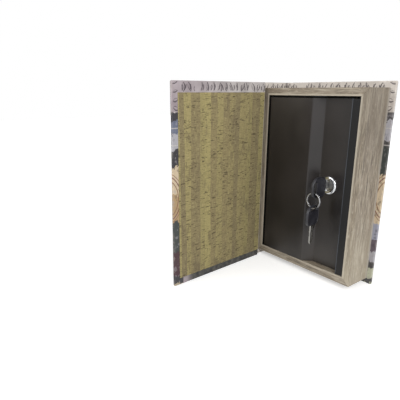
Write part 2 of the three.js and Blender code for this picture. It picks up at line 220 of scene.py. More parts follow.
def polygon(radius, sides):
    """The corners of a regular polygon, which stands in for a circle when it has many."""
    return arc((0, 0), radius, 0, 360 - 360 / sides, sides - 1)


def eased(corners, radius, steps=6):
    """A path through corners, with an arc of the radius at each bend."""
    path = [Vector(corners[0])]
    for before, corner, after in zip(corners, corners[1:], corners[2:]):
        corner = Vector(corner)
        back = (Vector(before) - corner).normalized()
        ahead = (Vector(after) - corner).normalized()
        half = back.angle(ahead) / 2
        reach = radius / math.tan(half)
        centre = corner + (back + ahead).normalized() * radius / math.sin(half)
        first, last = corner + back * reach - centre, corner + ahead * reach - centre
        turn = first.angle_signed(last)
        for i in range(steps + 1):
            path.append(centre + Matrix.Rotation(-turn * i / steps, 2) @ first)
    path.append(Vector(corners[-1]))
    return path


def two_sides(path, thickness):
    """The closed outline of a sheet whose middle follows a path."""
    sides = [[], []]
    for i, point in enumerate(path):
        along = (path[min(i + 1, len(path) - 1)] - path[max(i - 1, 0)]).normalized()
        across = Vector((-along.y, along.x)) * thickness / 2
        sides[0].append(point + across)
        sides[1].append(point - across)
    return sides[0] + sides[1][::-1]


# %% [markdown]
# ## Ways to mix a finish
#
# Every finish here is worked out by nodes, so it has no pictures and stays
# sharp at any distance. All of them share a small recipe book: it puts the
# shader in place, hands out coordinates in millimetres, and adds a node for each
# call. Thinking in millimetres helps, because wood grain, cork flecks and
# brushed lines have sizes that one can look up or measure.


# %% A recipe book for materials
def ink(red, green, blue):
    """A colour as a monitor shows it, 0 to 255, turned into light."""
    shares = [value / 255 for value in (red, green, blue)]
    light = [s / 12.92 if s <= 0.04045 else ((s + 0.055) / 1.055) ** 2.4 for s in shares]
    return (*light, 1)


class Finish:
    """A material that is mixed from nodes. Each call adds a node and returns its result."""

    def __init__(self, name, **settings):
        self.material = bpy.data.materials.new(name)
        self.material.use_nodes = True
        self.tree = self.material.node_tree
        self.tree.nodes.clear()
        self.shader = self.add("ShaderNodeBsdfPrincipled")
        output = self.add("ShaderNodeOutputMaterial")
        self.tree.links.new(self.shader.outputs[0], output.inputs[0])
        for socket, value in settings.items():
            self.shader.inputs[socket.replace("_", " ")].default_value = value
        self.spot = self.in_mm(self.add("ShaderNodeTexCoord").outputs["Object"])

    def add(self, kind, **settings):
        node = self.tree.nodes.new(kind)
        for name, value in settings.items():
            setattr(node, name, value)
        return node

    def feed(self, socket, value):
        if isinstance(value, bpy.types.NodeSocket):
            self.tree.links.new(value, socket)
        else:
            socket.default_value = value

    def stored(self, name, output="Vector"):
        """A value that the mesh carries at each of its points."""
        return self.add("ShaderNodeAttribute", attribute_name=name).outputs[output]

    def in_mm(self, place):
        scaled = self.add("ShaderNodeVectorMath", operation="SCALE")
        scaled.inputs["Scale"].default_value = 1 / mm
        self.tree.links.new(place, scaled.inputs[0])
        return scaled.outputs[0]

    def from_rest(self):
        """Takes the coordinates that the mesh had before any joint bent it."""
        self.spot = self.in_mm(self.stored("rest"))

    def calc(self, operation, *values, clamp=False):
        """A sum with values that change over the surface."""
        node = self.add("ShaderNodeMath", operation=operation, use_clamp=clamp)
        for socket, value in zip(node.inputs, values):
            self.feed(socket, value)
        return node.outputs[0]

    def times(self, first, second):
        return self.calc("MULTIPLY", first, second)

    def plus(self, first, second):
        return self.calc("ADD", first, second)

    def minus(self, first, second):
        return self.calc("SUBTRACT", first, second)

    def gap(self, first, second):
        """How far two values lie apart."""
        return self.calc("ABSOLUTE", self.minus(first, second))

    def least(self, first, *others):
        for other in others:
            first = self.calc("MINIMUM", first, other)
        return first

    def most(self, first, *others):
        for other in others:
            first = self.calc("MAXIMUM", first, other)
        return first

    def distance(self, x, y):
        """How far a point lies from the middle, from its two coordinates."""
        return self.calc("SQRT", self.plus(self.times(x, x), self.times(y, y)))

    def axes(self):
        """The three coordinates of a point, each on its own."""
        node = self.add("ShaderNodeSeparateXYZ")
        self.feed(node.inputs[0], self.spot)
        return node.outputs

    def point(self, x=0.0, y=0.0, z=0.0):
        """Three values joined to one place."""
        node = self.add("ShaderNodeCombineXYZ")
        for socket, value in zip(node.inputs, (x, y, z)):
            self.feed(socket, value)
        return node.outputs[0]

    def stretch(self, lengths, vector=None):
        """Coordinates in which a cell is as many millimetres long as given on each axis."""
        node = self.add("ShaderNodeMapping")
        self.feed(node.inputs["Vector"], vector or self.spot)
        node.inputs["Scale"].default_value = [1 / length for length in lengths]
        return node.outputs[0]

    def noise(self, lengths, detail=3, rough=0.5, vector=None, swirl=0):
        node = self.add("ShaderNodeTexNoise")
        self.feed(node.inputs["Vector"], self.stretch(lengths, vector))
        for name, value in (("Scale", 1), ("Detail", detail), ("Roughness", rough),
                            ("Distortion", swirl)):
            node.inputs[name].default_value = value
        return node.outputs[0]

    def cells(self, lengths, edges=False):
        """Irregular cells: a tone for each, or how far a point lies from their edges."""
        feature = "DISTANCE_TO_EDGE" if edges else "F1"
        node = self.add("ShaderNodeTexVoronoi", feature=feature)
        self.feed(node.inputs["Vector"], self.stretch(lengths))
        node.inputs["Scale"].default_value = 1
        return node.outputs["Distance"] if edges else node.outputs["Color"]

    def chance(self, value):
        """A fixed random number for each whole number."""
        node = self.add("ShaderNodeTexWhiteNoise", noise_dimensions="1D")
        self.feed(node.inputs["W"], value)
        return node.outputs["Value"]

    def rise(self, value, start, end):
        """0 below the start, 1 above the end, and a soft step between."""
        node = self.add("ShaderNodeMapRange", interpolation_type="SMOOTHSTEP")
        for name, number in (("Value", value), ("From Min", start), ("From Max", end)):
            self.feed(node.inputs[name], number)
        return node.outputs[0]

    def between(self, value, low, high, soft=0.1):
        """1 where a value lies between two others."""
        return self.times(self.rise(value, low - soft, low + soft),
                          self.rise(value, high + soft, high - soft))

    def tones(self, value, *stops, steps=False):
        node = self.add("ShaderNodeValToRGB")
        ramp = node.color_ramp
        ramp.interpolation = "CONSTANT" if steps else "LINEAR"
        while len(ramp.elements) < len(stops):
            ramp.elements.new(1)
        for element, (place, colour) in zip(ramp.elements, stops):
            element.position = place
            element.color = colour
        self.feed(node.inputs[0], value)
        return node.outputs[0]

    def over(self, cover, under, share):
        """One colour laid over another where the share is 1."""
        node = self.add("ShaderNodeMix", data_type="RGBA", blend_type="MIX")
        self.feed(node.inputs[0], share)
        self.feed(node.inputs[6], under)
        self.feed(node.inputs[7], cover)
        return node.outputs[2]

    def layer(self, cover, under, value, start, end, share):
        """A colour that comes over another as a value goes from the start to the end."""
        return self.over(cover, under, self.times(self.rise(value, start, end), share))

    def colour(self, value):
        self.feed(self.shader.inputs["Base Color"], value)

    def rough(self, value, low, high):
        node = self.add("ShaderNodeMapRange")
        self.feed(node.inputs["Value"], value)
        node.inputs["To Min"].default_value = low
        node.inputs["To Max"].default_value = high
        self.tree.links.new(node.outputs[0], self.shader.inputs["Roughness"])

    def relief(self, height, depth, strength=1):
        """Bump: the height goes from 0 to 1 over a depth in millimetres."""
        node = self.add("ShaderNodeBump")
        node.inputs["Strength"].default_value = strength
        node.inputs["Distance"].default_value = depth * mm
        self.feed(node.inputs["Height"], height)
        self.tree.links.new(node.outputs[0], self.shader.inputs["Normal"])


# %% [markdown]
# ## Wood-grain foil
#
# The case is fibreboard wrapped in printed foil, one strip that is folded round
# the four corners, so the grain runs along every wall and meets in mitres. The
# print is grey-beige oak: long streaks and fine fibres, broader brown bands,
# short pale flecks and thin dark pores. Noise that is stretched along one axis
# gives each of them. A painted highlight follows the inner edge of each wall's
# front face, and the front faces carry a little painted light. The upright
# walls carry painted shade towards the head and painted light towards the foot,
# and grow paler towards the back, where the foil is handled most.

# %% The foil on the four walls of the case
case_low = measure("page_block_spine_side")[0]
case_high = measure("page_block_fore_edge")[1]
opening_low = Vector((measure("page_block_spine_side")[1].x, 0, measure("page_block_foot")[1].z))
opening_high = Vector((measure("page_block_fore_edge")[0].x, 0, measure("page_block_head")[0].z))
edge_highlight_width = 2.6
foil_dark, foil_oak, foil_light = ink(90, 81, 70), ink(143, 131, 114), ink(178, 169, 154)
foil_band, foil_fleck, foil_pore = ink(122, 109, 93), ink(192, 183, 166), ink(72, 64, 55)
foil_painted_shade, foil_painted_light, foil_rubbed = ink(98, 89, 77), ink(196, 186, 164), ink(184, 180, 172)
foil_front_light, foil_edge_highlight = ink(192, 183, 164), ink(190, 181, 164)


def wood_foil(name, along, inner_edge, away):
    """Foil whose grain runs along X (0) or Z (2), with a painted highlight along its inner edge."""
    look = Finish(name, Roughness=0.6)
    across = 2 - along

    def grain(length, width, detail, swirl):
        """Noise in cells that are so long and so wide, in millimetres."""
        lengths = [width, width, width]
        lengths[along] = length
        return look.noise(lengths, detail=detail, rough=0.62, swirl=swirl)

    streaks = grain(34, 2.0, 4, 0.9)
    fibres = grain(15, 0.75, 3, 0.3)
    bands = grain(120, 8, 3, 0.9)
    flecks = grain(5.5, 1.7, 3, 0.7)
    pores = grain(16, 0.6, 3, 0.5)
    figure = look.plus(look.times(streaks, 0.6), look.times(fibres, 0.4))
    wood = look.tones(figure, (0.4, foil_dark), (0.5, foil_oak), (0.62, foil_light))
    wood = look.layer(foil_band, wood, bands, 0.46, 0.64, 0.75)
    wood = look.layer(foil_fleck, wood, flecks, 0.56, 0.68, 0.5)
    wood = look.layer(foil_pore, wood, pores, 0.54, 0.64, 0.6)
    _, y, z = look.axes()
    front, back = case_low.y / mm, case_high.y / mm
    if along == 2:
        # Painted shade darkens the upright walls towards the head, and painted light makes them
        # paler towards the foot.
        wood = look.layer(foil_painted_shade, wood, z, 110, 205, 0.45)
        wood = look.layer(foil_painted_light, wood, z, 115, 20, 0.34)
        wood = look.layer(foil_rubbed, wood, y, back - 6, back - 1, 0.45)
    # Painted light: the front faces are made a little paler.
    front_face = look.rise(y, front + 0.8, front + 0.3)
    wood = look.over(foil_front_light, wood, look.times(front_face, 0.06))
    # Painted highlight: a pale streak along the inner edge of each front face.
    inset = look.times(look.minus(look.axes()[across], inner_edge / mm), away)
    edge = look.times(look.rise(inset, edge_highlight_width, edge_highlight_width - 1.4), look.rise(bands, 0.25, 0.5))
    look.colour(look.over(foil_edge_highlight, wood, look.times(look.times(edge, front_face), 0.6)))
    look.rough(figure, 0.72, 0.5)
    look.relief(look.plus(figure, look.times(pores, 0.5)), 0.08, 0.5)
    return look.material


def finish_node(node, finish, rim=0.0):
    """Gives a solid that stays its finish, and rounds its edges if a rim is given."""
    solid = frame["nodes"][node]
    solid.data.materials.clear()
    solid.data.materials.append(finish)
    if rim:
        joined = solid.modifiers.new("joined corners", "WELD")
        joined.merge_threshold = 0.01 * mm
        edge = solid.modifiers.new("rounded edges", "BEVEL")
        edge.width = rim * mm
        edge.segments = 3
        edge.limit_method = "ANGLE"
        edge.angle_limit = math.radians(40)
        edge.harden_normals = True


foil_wraps = {
    "page_block_spine_side": wood_foil("foil_spine_side", 2, opening_low.x, -1),
    "page_block_fore_edge": wood_foil("foil_fore_edge", 2, opening_high.x, 1),
    "page_block_head": wood_foil("foil_head", 0, opening_high.z, 1),
    "page_block_foot": wood_foil("foil_foot", 0, opening_low.z, -1),
}
for node, finish in foil_wraps.items():
    finish_node(node, finish, rim=0.3)
print("case opening in mm:", [round(v / mm, 1) for v in (opening_high - opening_low)])

# %% [markdown]
# ## Grey board
#
# Book board is pressed from waste paper. It is dull and grey-brown, with small
# fibres and specks, and it shows only at cut ends and behind the steel box.


# %% Boards and back panel
def grey_board():
    look = Finish("grey_board", Roughness=0.9)
    pulp = look.noise((2.5, 2.5, 2.5), detail=5)
    specks = look.cells((1.2, 1.2, 1.2))
    board = look.tones(pulp, (0.3, ink(135, 126, 110)), (0.7, ink(172, 163, 146)))
    look.colour(look.layer(ink(105, 95, 82), board, specks, 0.8, 0.95, 0.5))
    look.relief(pulp, 0.1, 0.5)
    return look.material


board_finish = grey_board()
for node in ("back_cover_board", "front_cover_board"):
    finish_node(node, board_finish, rim=0.4)
finish_node("page_block_back", board_finish)

# %% [markdown]
# ## Black steel
#
# The box is folded from sheet steel with a satin black-brown powder coat. Such
# paint is never quite even: it has a fine orange-peel texture and soft patches
# where it is glossier. A painted reflection greys it towards the foot and beside
# the head of the hinge, and a painted highlight makes a thin paler line along
# one upright edge. The box keeps its solid, with small rounded bends.


# %% Coat the steel box and its strike
reflection_grey, edge_highlight_grey = ink(66, 62, 58), ink(96, 102, 112)
edge_highlight_half = 0.4


def black_coat(name, low, high, index, reflection_share, highlight_edge):
    """Powder coat with a painted reflection at its ends and a painted highlight along one upright
    edge.
    """
    look = Finish(name, Metallic=0.0, IOR=index)
    patches = look.noise((45, 45, 60), detail=2)
    peel = look.noise((0.5, 0.5, 0.5), detail=2)
    coat = look.tones(patches, (0.35, low), (0.65, high))
    x, _, z = look.axes()
    # Painted reflection: the coat is made greyer towards the foot and beside the head of the hinge.
    hinge_head = look.times(look.rise(z, 150, 230), look.rise(x, 0, -20))
    ends = look.most(look.rise(z, 75, 12), look.times(hinge_head, 0.8))
    painted_reflection = look.times(ends, look.rise(patches, 0.2, 0.6))
    coat = look.over(reflection_grey, coat, look.times(painted_reflection, reflection_share))
    # Painted highlight: a thin paler line along one upright edge.
    worn = look.times(look.between(x, highlight_edge - edge_highlight_half, highlight_edge + edge_highlight_half, 0.15),
                      look.rise(patches, 0.2, 0.5))
    look.colour(look.over(edge_highlight_grey, coat, look.times(worn, 0.45)))
    look.rough(patches, 0.3, 0.4)
    look.relief(peel, 0.02, 0.5)
    return look.material


flange_width = 9.9
steel_coat = black_coat("black_coat", ink(32, 29, 28), ink(40, 36, 35), 1.42, 0.6,
                        measure("steel_door")[1].x / mm)
box_coat = black_coat("black_coat_box", ink(9, 9, 10), ink(14, 14, 15), 1.34, 0.1,
                      measure("steel_tray")[1].x / mm - flange_width + 0.4)
finish_node("steel_tray", box_coat, rim=0.35)
finish_node("strike_bracket", box_coat, rim=0.3)

# %% [markdown]
# ## The door
#
# The door is one sheet: rolled round a rod at the hinge, flat, slanted back so
# that the lock lies deep, and flat again. A press brake leaves soft bends, and
# those bends are what one sees, as two pale upright lines. So the sheet is swept
# from its middle line with an arc at each bend, then notched beside the roll and
# drilled for the lock.

# %% Fold, notch and drill the door
door_low, door_high = measure("steel_door")
tray_low, tray_high = measure("steel_tray")
rod_low, rod_high = measure("hinge_rod")
lock_low, lock_high = measure("lock_body")
lock_spot = (lock_low + lock_high) / 2
sheet = 1.2 * mm
bend_radius = 2.2 * mm
roll_end = -375
rod_spot = (rod_low + rod_high) / 2
panel_middle = door_high.y - sheet / 2
front_middle = door_low.y + sheet / 2
second_fold = Vector((lock_spot.x - 14.3 * mm, panel_middle))
first_fold = Vector((second_fold.x - 10.5 * mm, front_middle))
roll_radius = rod_spot.y - front_middle
flat_path = eased([(door_high.x, panel_middle), second_fold, first_fold,
                   (rod_spot.x, front_middle)], bend_radius)
rolled = [Vector(p) for p in arc(rod_spot.xy, roll_radius, -90, roll_end, 48)]
sheet_outline = two_sides(flat_path[:-1] + rolled, sheet)
door_sheet = prism("door_sheet", sheet_outline, door_low.z, door_high.z, steel_coat)
notch_reach = 4 * mm
roll_foot = tray_low.z + sheet + 0.3 * mm
roll_head = tray_high.z - sheet - 1.3 * mm
for low, high in ((door_low.z - mm, roll_foot), (roll_head, door_high.z + mm)):
    corner = [(tray_low.x, tray_low.y - mm), (rod_spot.x + notch_reach, tray_low.y - mm),
              (rod_spot.x + notch_reach, tray_high.y), (tray_low.x, tray_high.y)]
    door_sheet = cut(door_sheet, prism("notch", corner, low, high, steel_coat))
inwards = Matrix.Rotation(math.radians(-90), 4, "X")


def at_depth(depth):
    """A place on the lock's axis, its Z pointing into the box."""
    return Matrix.Translation((lock_spot.x, depth, lock_spot.z)) @ inwards


hole_radius = 8.6 * mm
drill = prism("drill", polygon(hole_radius, 64), door_high.y - 3 * mm, door_high.y + 2 * mm,
              steel_coat, at_depth(0))
door_sheet = cut(door_sheet, drill)
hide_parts("steel_door")
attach(door_sheet, "door")
print("door sheet spans", round((door_high.z - door_low.z) / mm, 1), "mm from foot to head")

# %% [markdown]
# ## Bright metals
#
# Four metals meet here. Chrome on the lock's bezel is nearly a mirror, with
# faint turning marks. Nickel on the plug and the blades is darker and softer.
# Zinc on the nut, the cam and the screws is bluish, cloudy and dull. The ring's
# steel lies between chrome and nickel. Each is a metal with its own roughness,
# and a stretched noise gives the marks of the tool.


# %% Chrome, nickel and zinc
def bright_metal(name, low, high, roughness, marks, depth):
    look = Finish(name, Metallic=1.0)
    cloud = look.noise((4, 4, 4), detail=3)
    lines = look.noise(marks, detail=2)
    look.colour(look.tones(cloud, (0.3, low), (0.7, high)))
    look.rough(lines, *roughness)
    look.relief(lines, depth, 0.4)
    return look.material


chrome = bright_metal("chrome_plate", ink(194, 195, 198), ink(222, 224, 226),
                      (0.1, 0.2), (0.4, 0.08, 0.4), 0.004)
nickel = bright_metal("nickel_plate", ink(132, 132, 131), ink(168, 168, 166),
                      (0.36, 0.5), (0.15, 4, 0.15), 0.01)
hanging_nickel = bright_metal("nickel_plate_hanging", ink(126, 125, 122), ink(160, 158, 153),
                              (0.24, 0.4), (0.15, 0.15, 4), 0.01)
zinc = bright_metal("zinc_plate", ink(160, 164, 166), ink(196, 198, 198),
                    (0.34, 0.5), (0.8, 0.8, 0.8), 0.01)

# %% [markdown]
# ## The cam lock
#
# A cam lock is a turned barrel with a threaded shank and a wide bezel. A
# hexagon nut clamps it to the sheet from behind, a plug with the keyway turns
# in it, and a screw holds the cam on the plug's end. The barrel is spun from a
# profile. Its thread is a true helix: a grid of points whose radius depends on
# both the angle and the depth.

# %% Bezel and threaded barrel
plug_low, plug_high = measure("lock_plug")
bezel_radius = (lock_high.x - lock_low.x) / 2
plug_radius = (plug_high.x - plug_low.x) / 2
bore = plug_radius + 0.2 * mm
shank_radius = 8.3 * mm
bezel_front = lock_low.y
barrel_end = lock_high.y
panel_front = door_high.y - sheet


def barrel(name, place, front, seat, end, finish):
    """The bezel and its threaded shank, as a grid round the axis."""
    steps, pitch, thread = 96, 1.25 * mm, 0.42 * mm
    turns = int((end - seat) / (0.16 * mm))
    inner_width, outer_width, drop = 0.7 * mm, 3.1 * mm, 1.3 * mm
    crown = bore + 0.3 * mm + inner_width
    face = [(bore, front + 1.5 * mm), (bore, front + drop)]
    face += [(crown + inner_width * x, front + drop + drop * y)
             for x, y in arc((0, 0), 1, 180, 270, 8)]
    edge = bezel_radius - crown - outer_width
    face += [(crown + edge + outer_width * x, front + drop + drop * y)
             for x, y in arc((0, 0), 1, 270, 360, 12)]
    face += [(bezel_radius, seat - 0.3 * mm), (bezel_radius - 0.2 * mm, seat - 0.1 * mm),
             (shank_radius, seat - 0.1 * mm)]
    points, faces = [], []
    rows = len(face) + turns + 3
    for i in range(steps):
        share = i / steps
        column = list(face)
        for k in range(turns + 1):
            depth = seat + (end - seat - 0.4 * mm) * k / turns
            phase = (depth / pitch - share) % 1
            column.append((shank_radius - thread * (1 - abs(2 * phase - 1)), depth))
        column += [(bore + 0.3 * mm, end), (bore, end - 0.3 * mm)]
        angle = 2 * math.pi * share
        for radius, depth in column:
            spot = (radius * math.cos(angle), radius * math.sin(angle), depth)
            points.append(place @ Vector(spot))
        for k in range(rows):
            a, b = i * rows + k, i * rows + (k + 1) % rows
            c, d = (i + 1) % steps * rows + (k + 1) % rows, (i + 1) % steps * rows + k
            faces.append((a, b, c, d))
    return add_mesh(name, points, faces, finish)


bezel = barrel("lock_bezel", at_depth(0), bezel_front, panel_front, barrel_end, chrome)
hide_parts("lock_body")
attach(bezel, "door")
print("bezel is", round(2 * bezel_radius / mm, 1), "mm across")

# %% Nut, plug, cam and screw
nut_low, nut_high = measure("lock_nut")
nut_corner = (nut_high.x - nut_low.x) / 2
nut_middle = (nut_low.y + nut_high.y) / 2
play = 0.1 * mm
clamp_nut = plate("clamp_nut", [polygon(nut_corner, 6), polygon(shank_radius + play, 64)],
                  nut_high.y - nut_low.y, 0.35 * mm, at_depth(nut_middle), zinc)
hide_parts("lock_nut")
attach(clamp_nut, "door")

plug_front = plug_low.y
boss_radius = 4 * mm
boss_start = plug_high.y - 2.2 * mm
lip = 0.35 * mm
lock_core = turned("lock_core", [
    (0, plug_front), (plug_radius - lip, plug_front), (plug_radius, plug_front + lip),
    (plug_radius, boss_start - lip), (plug_radius - lip, boss_start), (boss_radius, boss_start),
    (boss_radius, plug_high.y - lip), (boss_radius - lip, plug_high.y), (0, plug_high.y),
], at_depth(0), nickel)
slit_half, slit_reach = 1.2 * mm, 3.0 * mm
keyway = prism("keyway", [(-slit_half, -slit_reach), (slit_half, -slit_reach),
                          (slit_half, slit_reach), (-slit_half, slit_reach)],
               plug_front - mm, measure("key_blade")[1].y + 0.2 * mm, nickel, at_depth(0))
lock_core = cut(lock_core, keyway)
screw_low, screw_high = measure("cam_screw")
bore_for_screw = prism("screw_bore", polygon(2 * mm, 24), screw_low.y - 0.2 * mm,
                       plug_high.y + mm, nickel, at_depth(0))
lock_core = cut(lock_core, bore_for_screw)
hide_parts("lock_plug")
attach(lock_core, "lock_plug")

cam_low, cam_high = measure("lock_cam")
hub_radius = (cam_high.x - cam_low.x) / 2
tip_radius = 4.6 * mm
tip_drop = lock_spot.z - cam_low.z - tip_radius
cam_outline = arc((0, 0), hub_radius, 180, 360, 32)
cam_outline += arc((0, tip_drop), tip_radius, 0, 180, 20)
cam_hole = polygon(boss_radius + play, 32)
turning_cam = plate("turning_cam", [cam_outline, cam_hole], cam_high.y - cam_low.y, 0.3 * mm,
                    at_depth((cam_low.y + cam_high.y) / 2), zinc)
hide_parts("lock_cam")
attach(turning_cam, "lock_plug")


def pan_screw(name, node, place, length, head_radius, head_height, shank, body):
    """A pan-head screw with a cross recess. Its head is at 0 and its shank points along Z."""
    dome = [(0, -head_height)]
    dome += [(head_radius * (0.55 + 0.45 * math.sin(a)), -head_height * math.cos(a))
             for a in [math.radians(9 * i) for i in range(11)]]
    profile = dome + [(head_radius, 0), (shank, 0), (shank, length - shank), (0, length)]
    screw = turned(name, profile, place, zinc, steps=48)
    reach, slot = head_radius * 0.55, head_radius * 0.14
    cross = [(slot, slot), (slot, reach), (-slot, reach), (-slot, slot), (-reach, slot),
             (-reach, -slot), (-slot, -slot), (-slot, -reach), (slot, -reach), (slot, -slot),
             (reach, -slot), (reach, slot)]
    screw = cut(screw, prism("cross", cross, -head_height - mm, -head_height * 0.35, zinc, place))
    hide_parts(node)
    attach(screw, body)


head_front = screw_high.y - 2 * mm
cam_screw_place = at_depth(head_front) @ Matrix.Rotation(math.pi, 4, "X")
pan_screw("cam_fixing_screw", "cam_screw", cam_screw_place, head_front - screw_low.y,
          (screw_high.x - screw_low.x) / 2, 2 * mm, 1.9 * mm, "lock_plug")
for number in range(1, 5):
    low, high = measure(f"tray_screw_{number}")
    middle = (low + high) / 2
    head_height = 1.8 * mm
    seat = Matrix.Translation((middle.x, low.y + head_height, middle.z))
    pan_screw(f"box_screw_{number}", f"tray_screw_{number}", seat @ inwards,
              high.y - low.y - head_height, (high.x - low.x) / 2, head_height, 1.7 * mm, "root")
print("cam reaches", round((lock_spot.z - cam_low.z) / mm, 1), "mm below the lock's axis")

# %% Hinge rod
rod_radius = (rod_high.x - rod_low.x) / 2
rod_edge = 0.3 * mm
hinge_pin = turned("hinge_pin", [
    (0, rod_low.z), (rod_radius - rod_edge, rod_low.z), (rod_radius, rod_low.z + rod_edge),
    (rod_radius, rod_high.z - rod_edge), (rod_radius - rod_edge, rod_high.z), (0, rod_high.z),
], Matrix.Translation((rod_spot.x, rod_spot.y, 0)), box_coat, steps=48)
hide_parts("hinge_rod")
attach(hinge_pin, "root")

# %% [markdown]
# ## Keys and ring
#
# Each key has a moulded black head round a nickel blade. The head is a rounded
# oval with a slot, and its faces are sunk a little so that a rim stands round
# them, which catches the light. The blade is cut along one edge and has a
# groove milled along each side. One key sits in the lock, the other hangs.


# %% Moulded plastic
def moulded_plastic():
    look = Finish("moulded_plastic", IOR=1.5)
    grain = look.noise((0.35, 0.35, 0.35), detail=2)
    scuffs = look.noise((9, 9, 9), detail=4)
    look.colour(look.tones(scuffs, (0.4, ink(28, 28, 33)), (0.75, ink(44, 44, 50))))
    look.rough(scuffs, 0.3, 0.5)
    look.relief(grain, 0.03, 0.4)
    return look.material


plastic = moulded_plastic()


# %% Outline of a key's head
slot_width, slot_length = 5 * mm, 15.2 * mm
round_end, blade_end = 2.4, 4


def to_slot(way, grow):
    """How far a ray from the slot's middle runs to the slot's grown wall."""
    side = slot_width / 2 + grow
    reach = slot_length / 2 - slot_width / 2
    if abs(way.x) * reach > side * abs(way.y):
        return side / abs(way.x)
    along = reach * abs(way.y)
    return along + math.sqrt(side ** 2 - reach ** 2 + along ** 2)


def to_rim(way, shrink, middle, half):
    """How far the same ray runs to the head's shrunken outline, found by halving."""
    near, far = 0.0, 2 * half.length
    for _ in range(30):
        spot = way * (near + far) / 2 - Vector((middle.x, 0))
        roundness = blade_end if spot.x > 0 else round_end
        inside = (abs(spot.x / (half.x - shrink)) ** roundness
                  + abs(spot.y / (half.y - shrink)) ** roundness) < 1
        near, far = ((near + far) / 2, far) if inside else (near, (near + far) / 2)
    return near


# %% Mould a key's head
def key_head(name, node, place, body):
    """A head with sunk faces. X runs from its slot towards the blade and Y is its width."""
    low, high = measure(node, place)
    middle, half = (low + high) / 2, (high - low) / 2
    sunk, slot_round, rim_round = 0.35 * mm, 0.4 * mm, 0.7 * mm
    slot_rim, outer_rim, slope = 0.55 * mm, 1.0 * mm, 0.15 * mm
    rows = [(True, slot_round - x, half.z - slot_round + z)
            for x, z in arc((0, 0), slot_round, 0, 90, 3)]
    rows += [(True, slot_rim, half.z), (True, slot_rim + slope, half.z - sunk),
             (False, outer_rim + slope, half.z - sunk), (False, outer_rim, half.z)]
    rows += [(False, rim_round - x, half.z - rim_round + z)
             for x, z in arc((0, 0), rim_round, 90, 0, 4)]
    rows += [(at_slot, offset, -height) for at_slot, offset, height in rows[::-1]]
    steps, points, faces = 120, [], []
    for i in range(steps):
        angle = 2 * math.pi * (i + 0.5) / steps
        way = Vector((math.cos(angle), math.sin(angle)))
        for at_slot, offset, height in rows:
            reach = to_slot(way, offset) if at_slot else to_rim(way, offset, middle, half)
            points.append(Vector((*(way * reach), height)))
        turn = (i + 1) % steps * len(rows)
        for k in range(len(rows)):
            ahead = (k + 1) % len(rows)
            faces.append((i * len(rows) + k, i * len(rows) + ahead, turn + ahead, turn + k))
    head = add_mesh(f"{name}_grip", points, faces, plastic)
    head.data.transform(place)
    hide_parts(node)
    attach(head, body)
    return high.x


# %% Cut a key's blade
blade_width = 5.6 * mm
blade_sharp_angle = 25
bitting = [0.35, 0.15, 0.4, 0.2, 0.3]
bitting_pitch, bitting_flat = 3.2 * mm, 0.5 * mm
groove_half = 1.1 * mm


def key_blade(name, node, place, body, metal, head_end):
    """A blade with shallow cuts along its lower edge and a groove along each side."""
    low, high = measure(node, place)
    shoulder_end = head_end + 2.2 * mm
    side = blade_width / 2
    outline = [(low.x, -side)]
    cut_start = shoulder_end + 2.2 * mm
    for k, depth in enumerate(bitting):
        spot = cut_start + bitting_pitch * (k + 0.5)
        deep = depth * mm
        outline += [(spot - bitting_flat - deep, -side), (spot - bitting_flat, -side + deep),
                    (spot + bitting_flat, -side + deep), (spot + bitting_flat + deep, -side)]
    tip, slant = high.x, side * 0.7
    outline += [(tip - side, -side), (tip, -side + slant), (tip, side - slant), (tip - side, side),
                (shoulder_end + high.y - side, side), (shoulder_end, high.y),
                (head_end + 0.1 * mm, high.y), (head_end + 0.1 * mm, side), (low.x, side)]
    thickness = high.z - low.z
    blade = plate(f"{name}_shank", [outline], thickness, 0.15 * mm, Matrix(), metal,
                  smooth=blade_sharp_angle)
    for face, offset in ((-1, -0.5 * mm), (1, 0.3 * mm)):
        near, far = offset - groove_half, offset + groove_half
        wall = face * (thickness / 2 - 0.5 * mm)
        groove = plate("groove", [[(shoulder_end, near), (tip + mm, near),
                                   (tip + mm, far), (shoulder_end, far)]],
                       2 * mm, 0.0, Matrix.Translation((0, 0, wall + face * mm)), metal)
        blade = cut(blade, groove, smooth=blade_sharp_angle)
    blade.data.transform(place)
    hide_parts(node)
    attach(blade, body)


# %% Place the two keys
slot_inset = 4.7 * mm
key_low, key_high = measure("key_head")
key_middle = (key_low + key_high) / 2
key_spot = Vector((key_middle.x, key_low.y + slot_inset, key_middle.z))
along_y = Matrix(((0, 0, 1, 0), (1, 0, 0, 0), (0, 1, 0, 0), (0, 0, 0, 1)))
key_place = Matrix.Translation(key_spot) @ along_y
head_end = key_head("lock_key", "key_head", key_place, "key")
key_blade("lock_key", "key_blade", key_place, "key", nickel, head_end)

spare_swivel = math.radians(7)
spare_low, spare_high = measure("spare_key_head")
spare_middle = (spare_low + spare_high) / 2
spare_spot = Vector((spare_middle.x, spare_middle.y, spare_high.z - slot_inset))
hanging = Matrix.Rotation(spare_swivel, 4, "Z") @ inwards
spare_place = Matrix.Translation(spare_spot) @ hanging @ along_y
head_end = key_head("hanging_key", "spare_key_head", spare_place, "spare_key")
key_blade("hanging_key", "spare_key_blade", spare_place, "spare_key", hanging_nickel, head_end)
print("spare key hangs at", [round(v / mm, 1) for v in spare_spot])


# %% [markdown]
# ## The split ring
#
# A split ring is flat wire wound twice round, so that it shows a double line
# and one oblique step where the wire crosses from the first turn to the second.
# The wire's section is swept along two turns of a circle, and a soft step in
# the path makes the crossing.

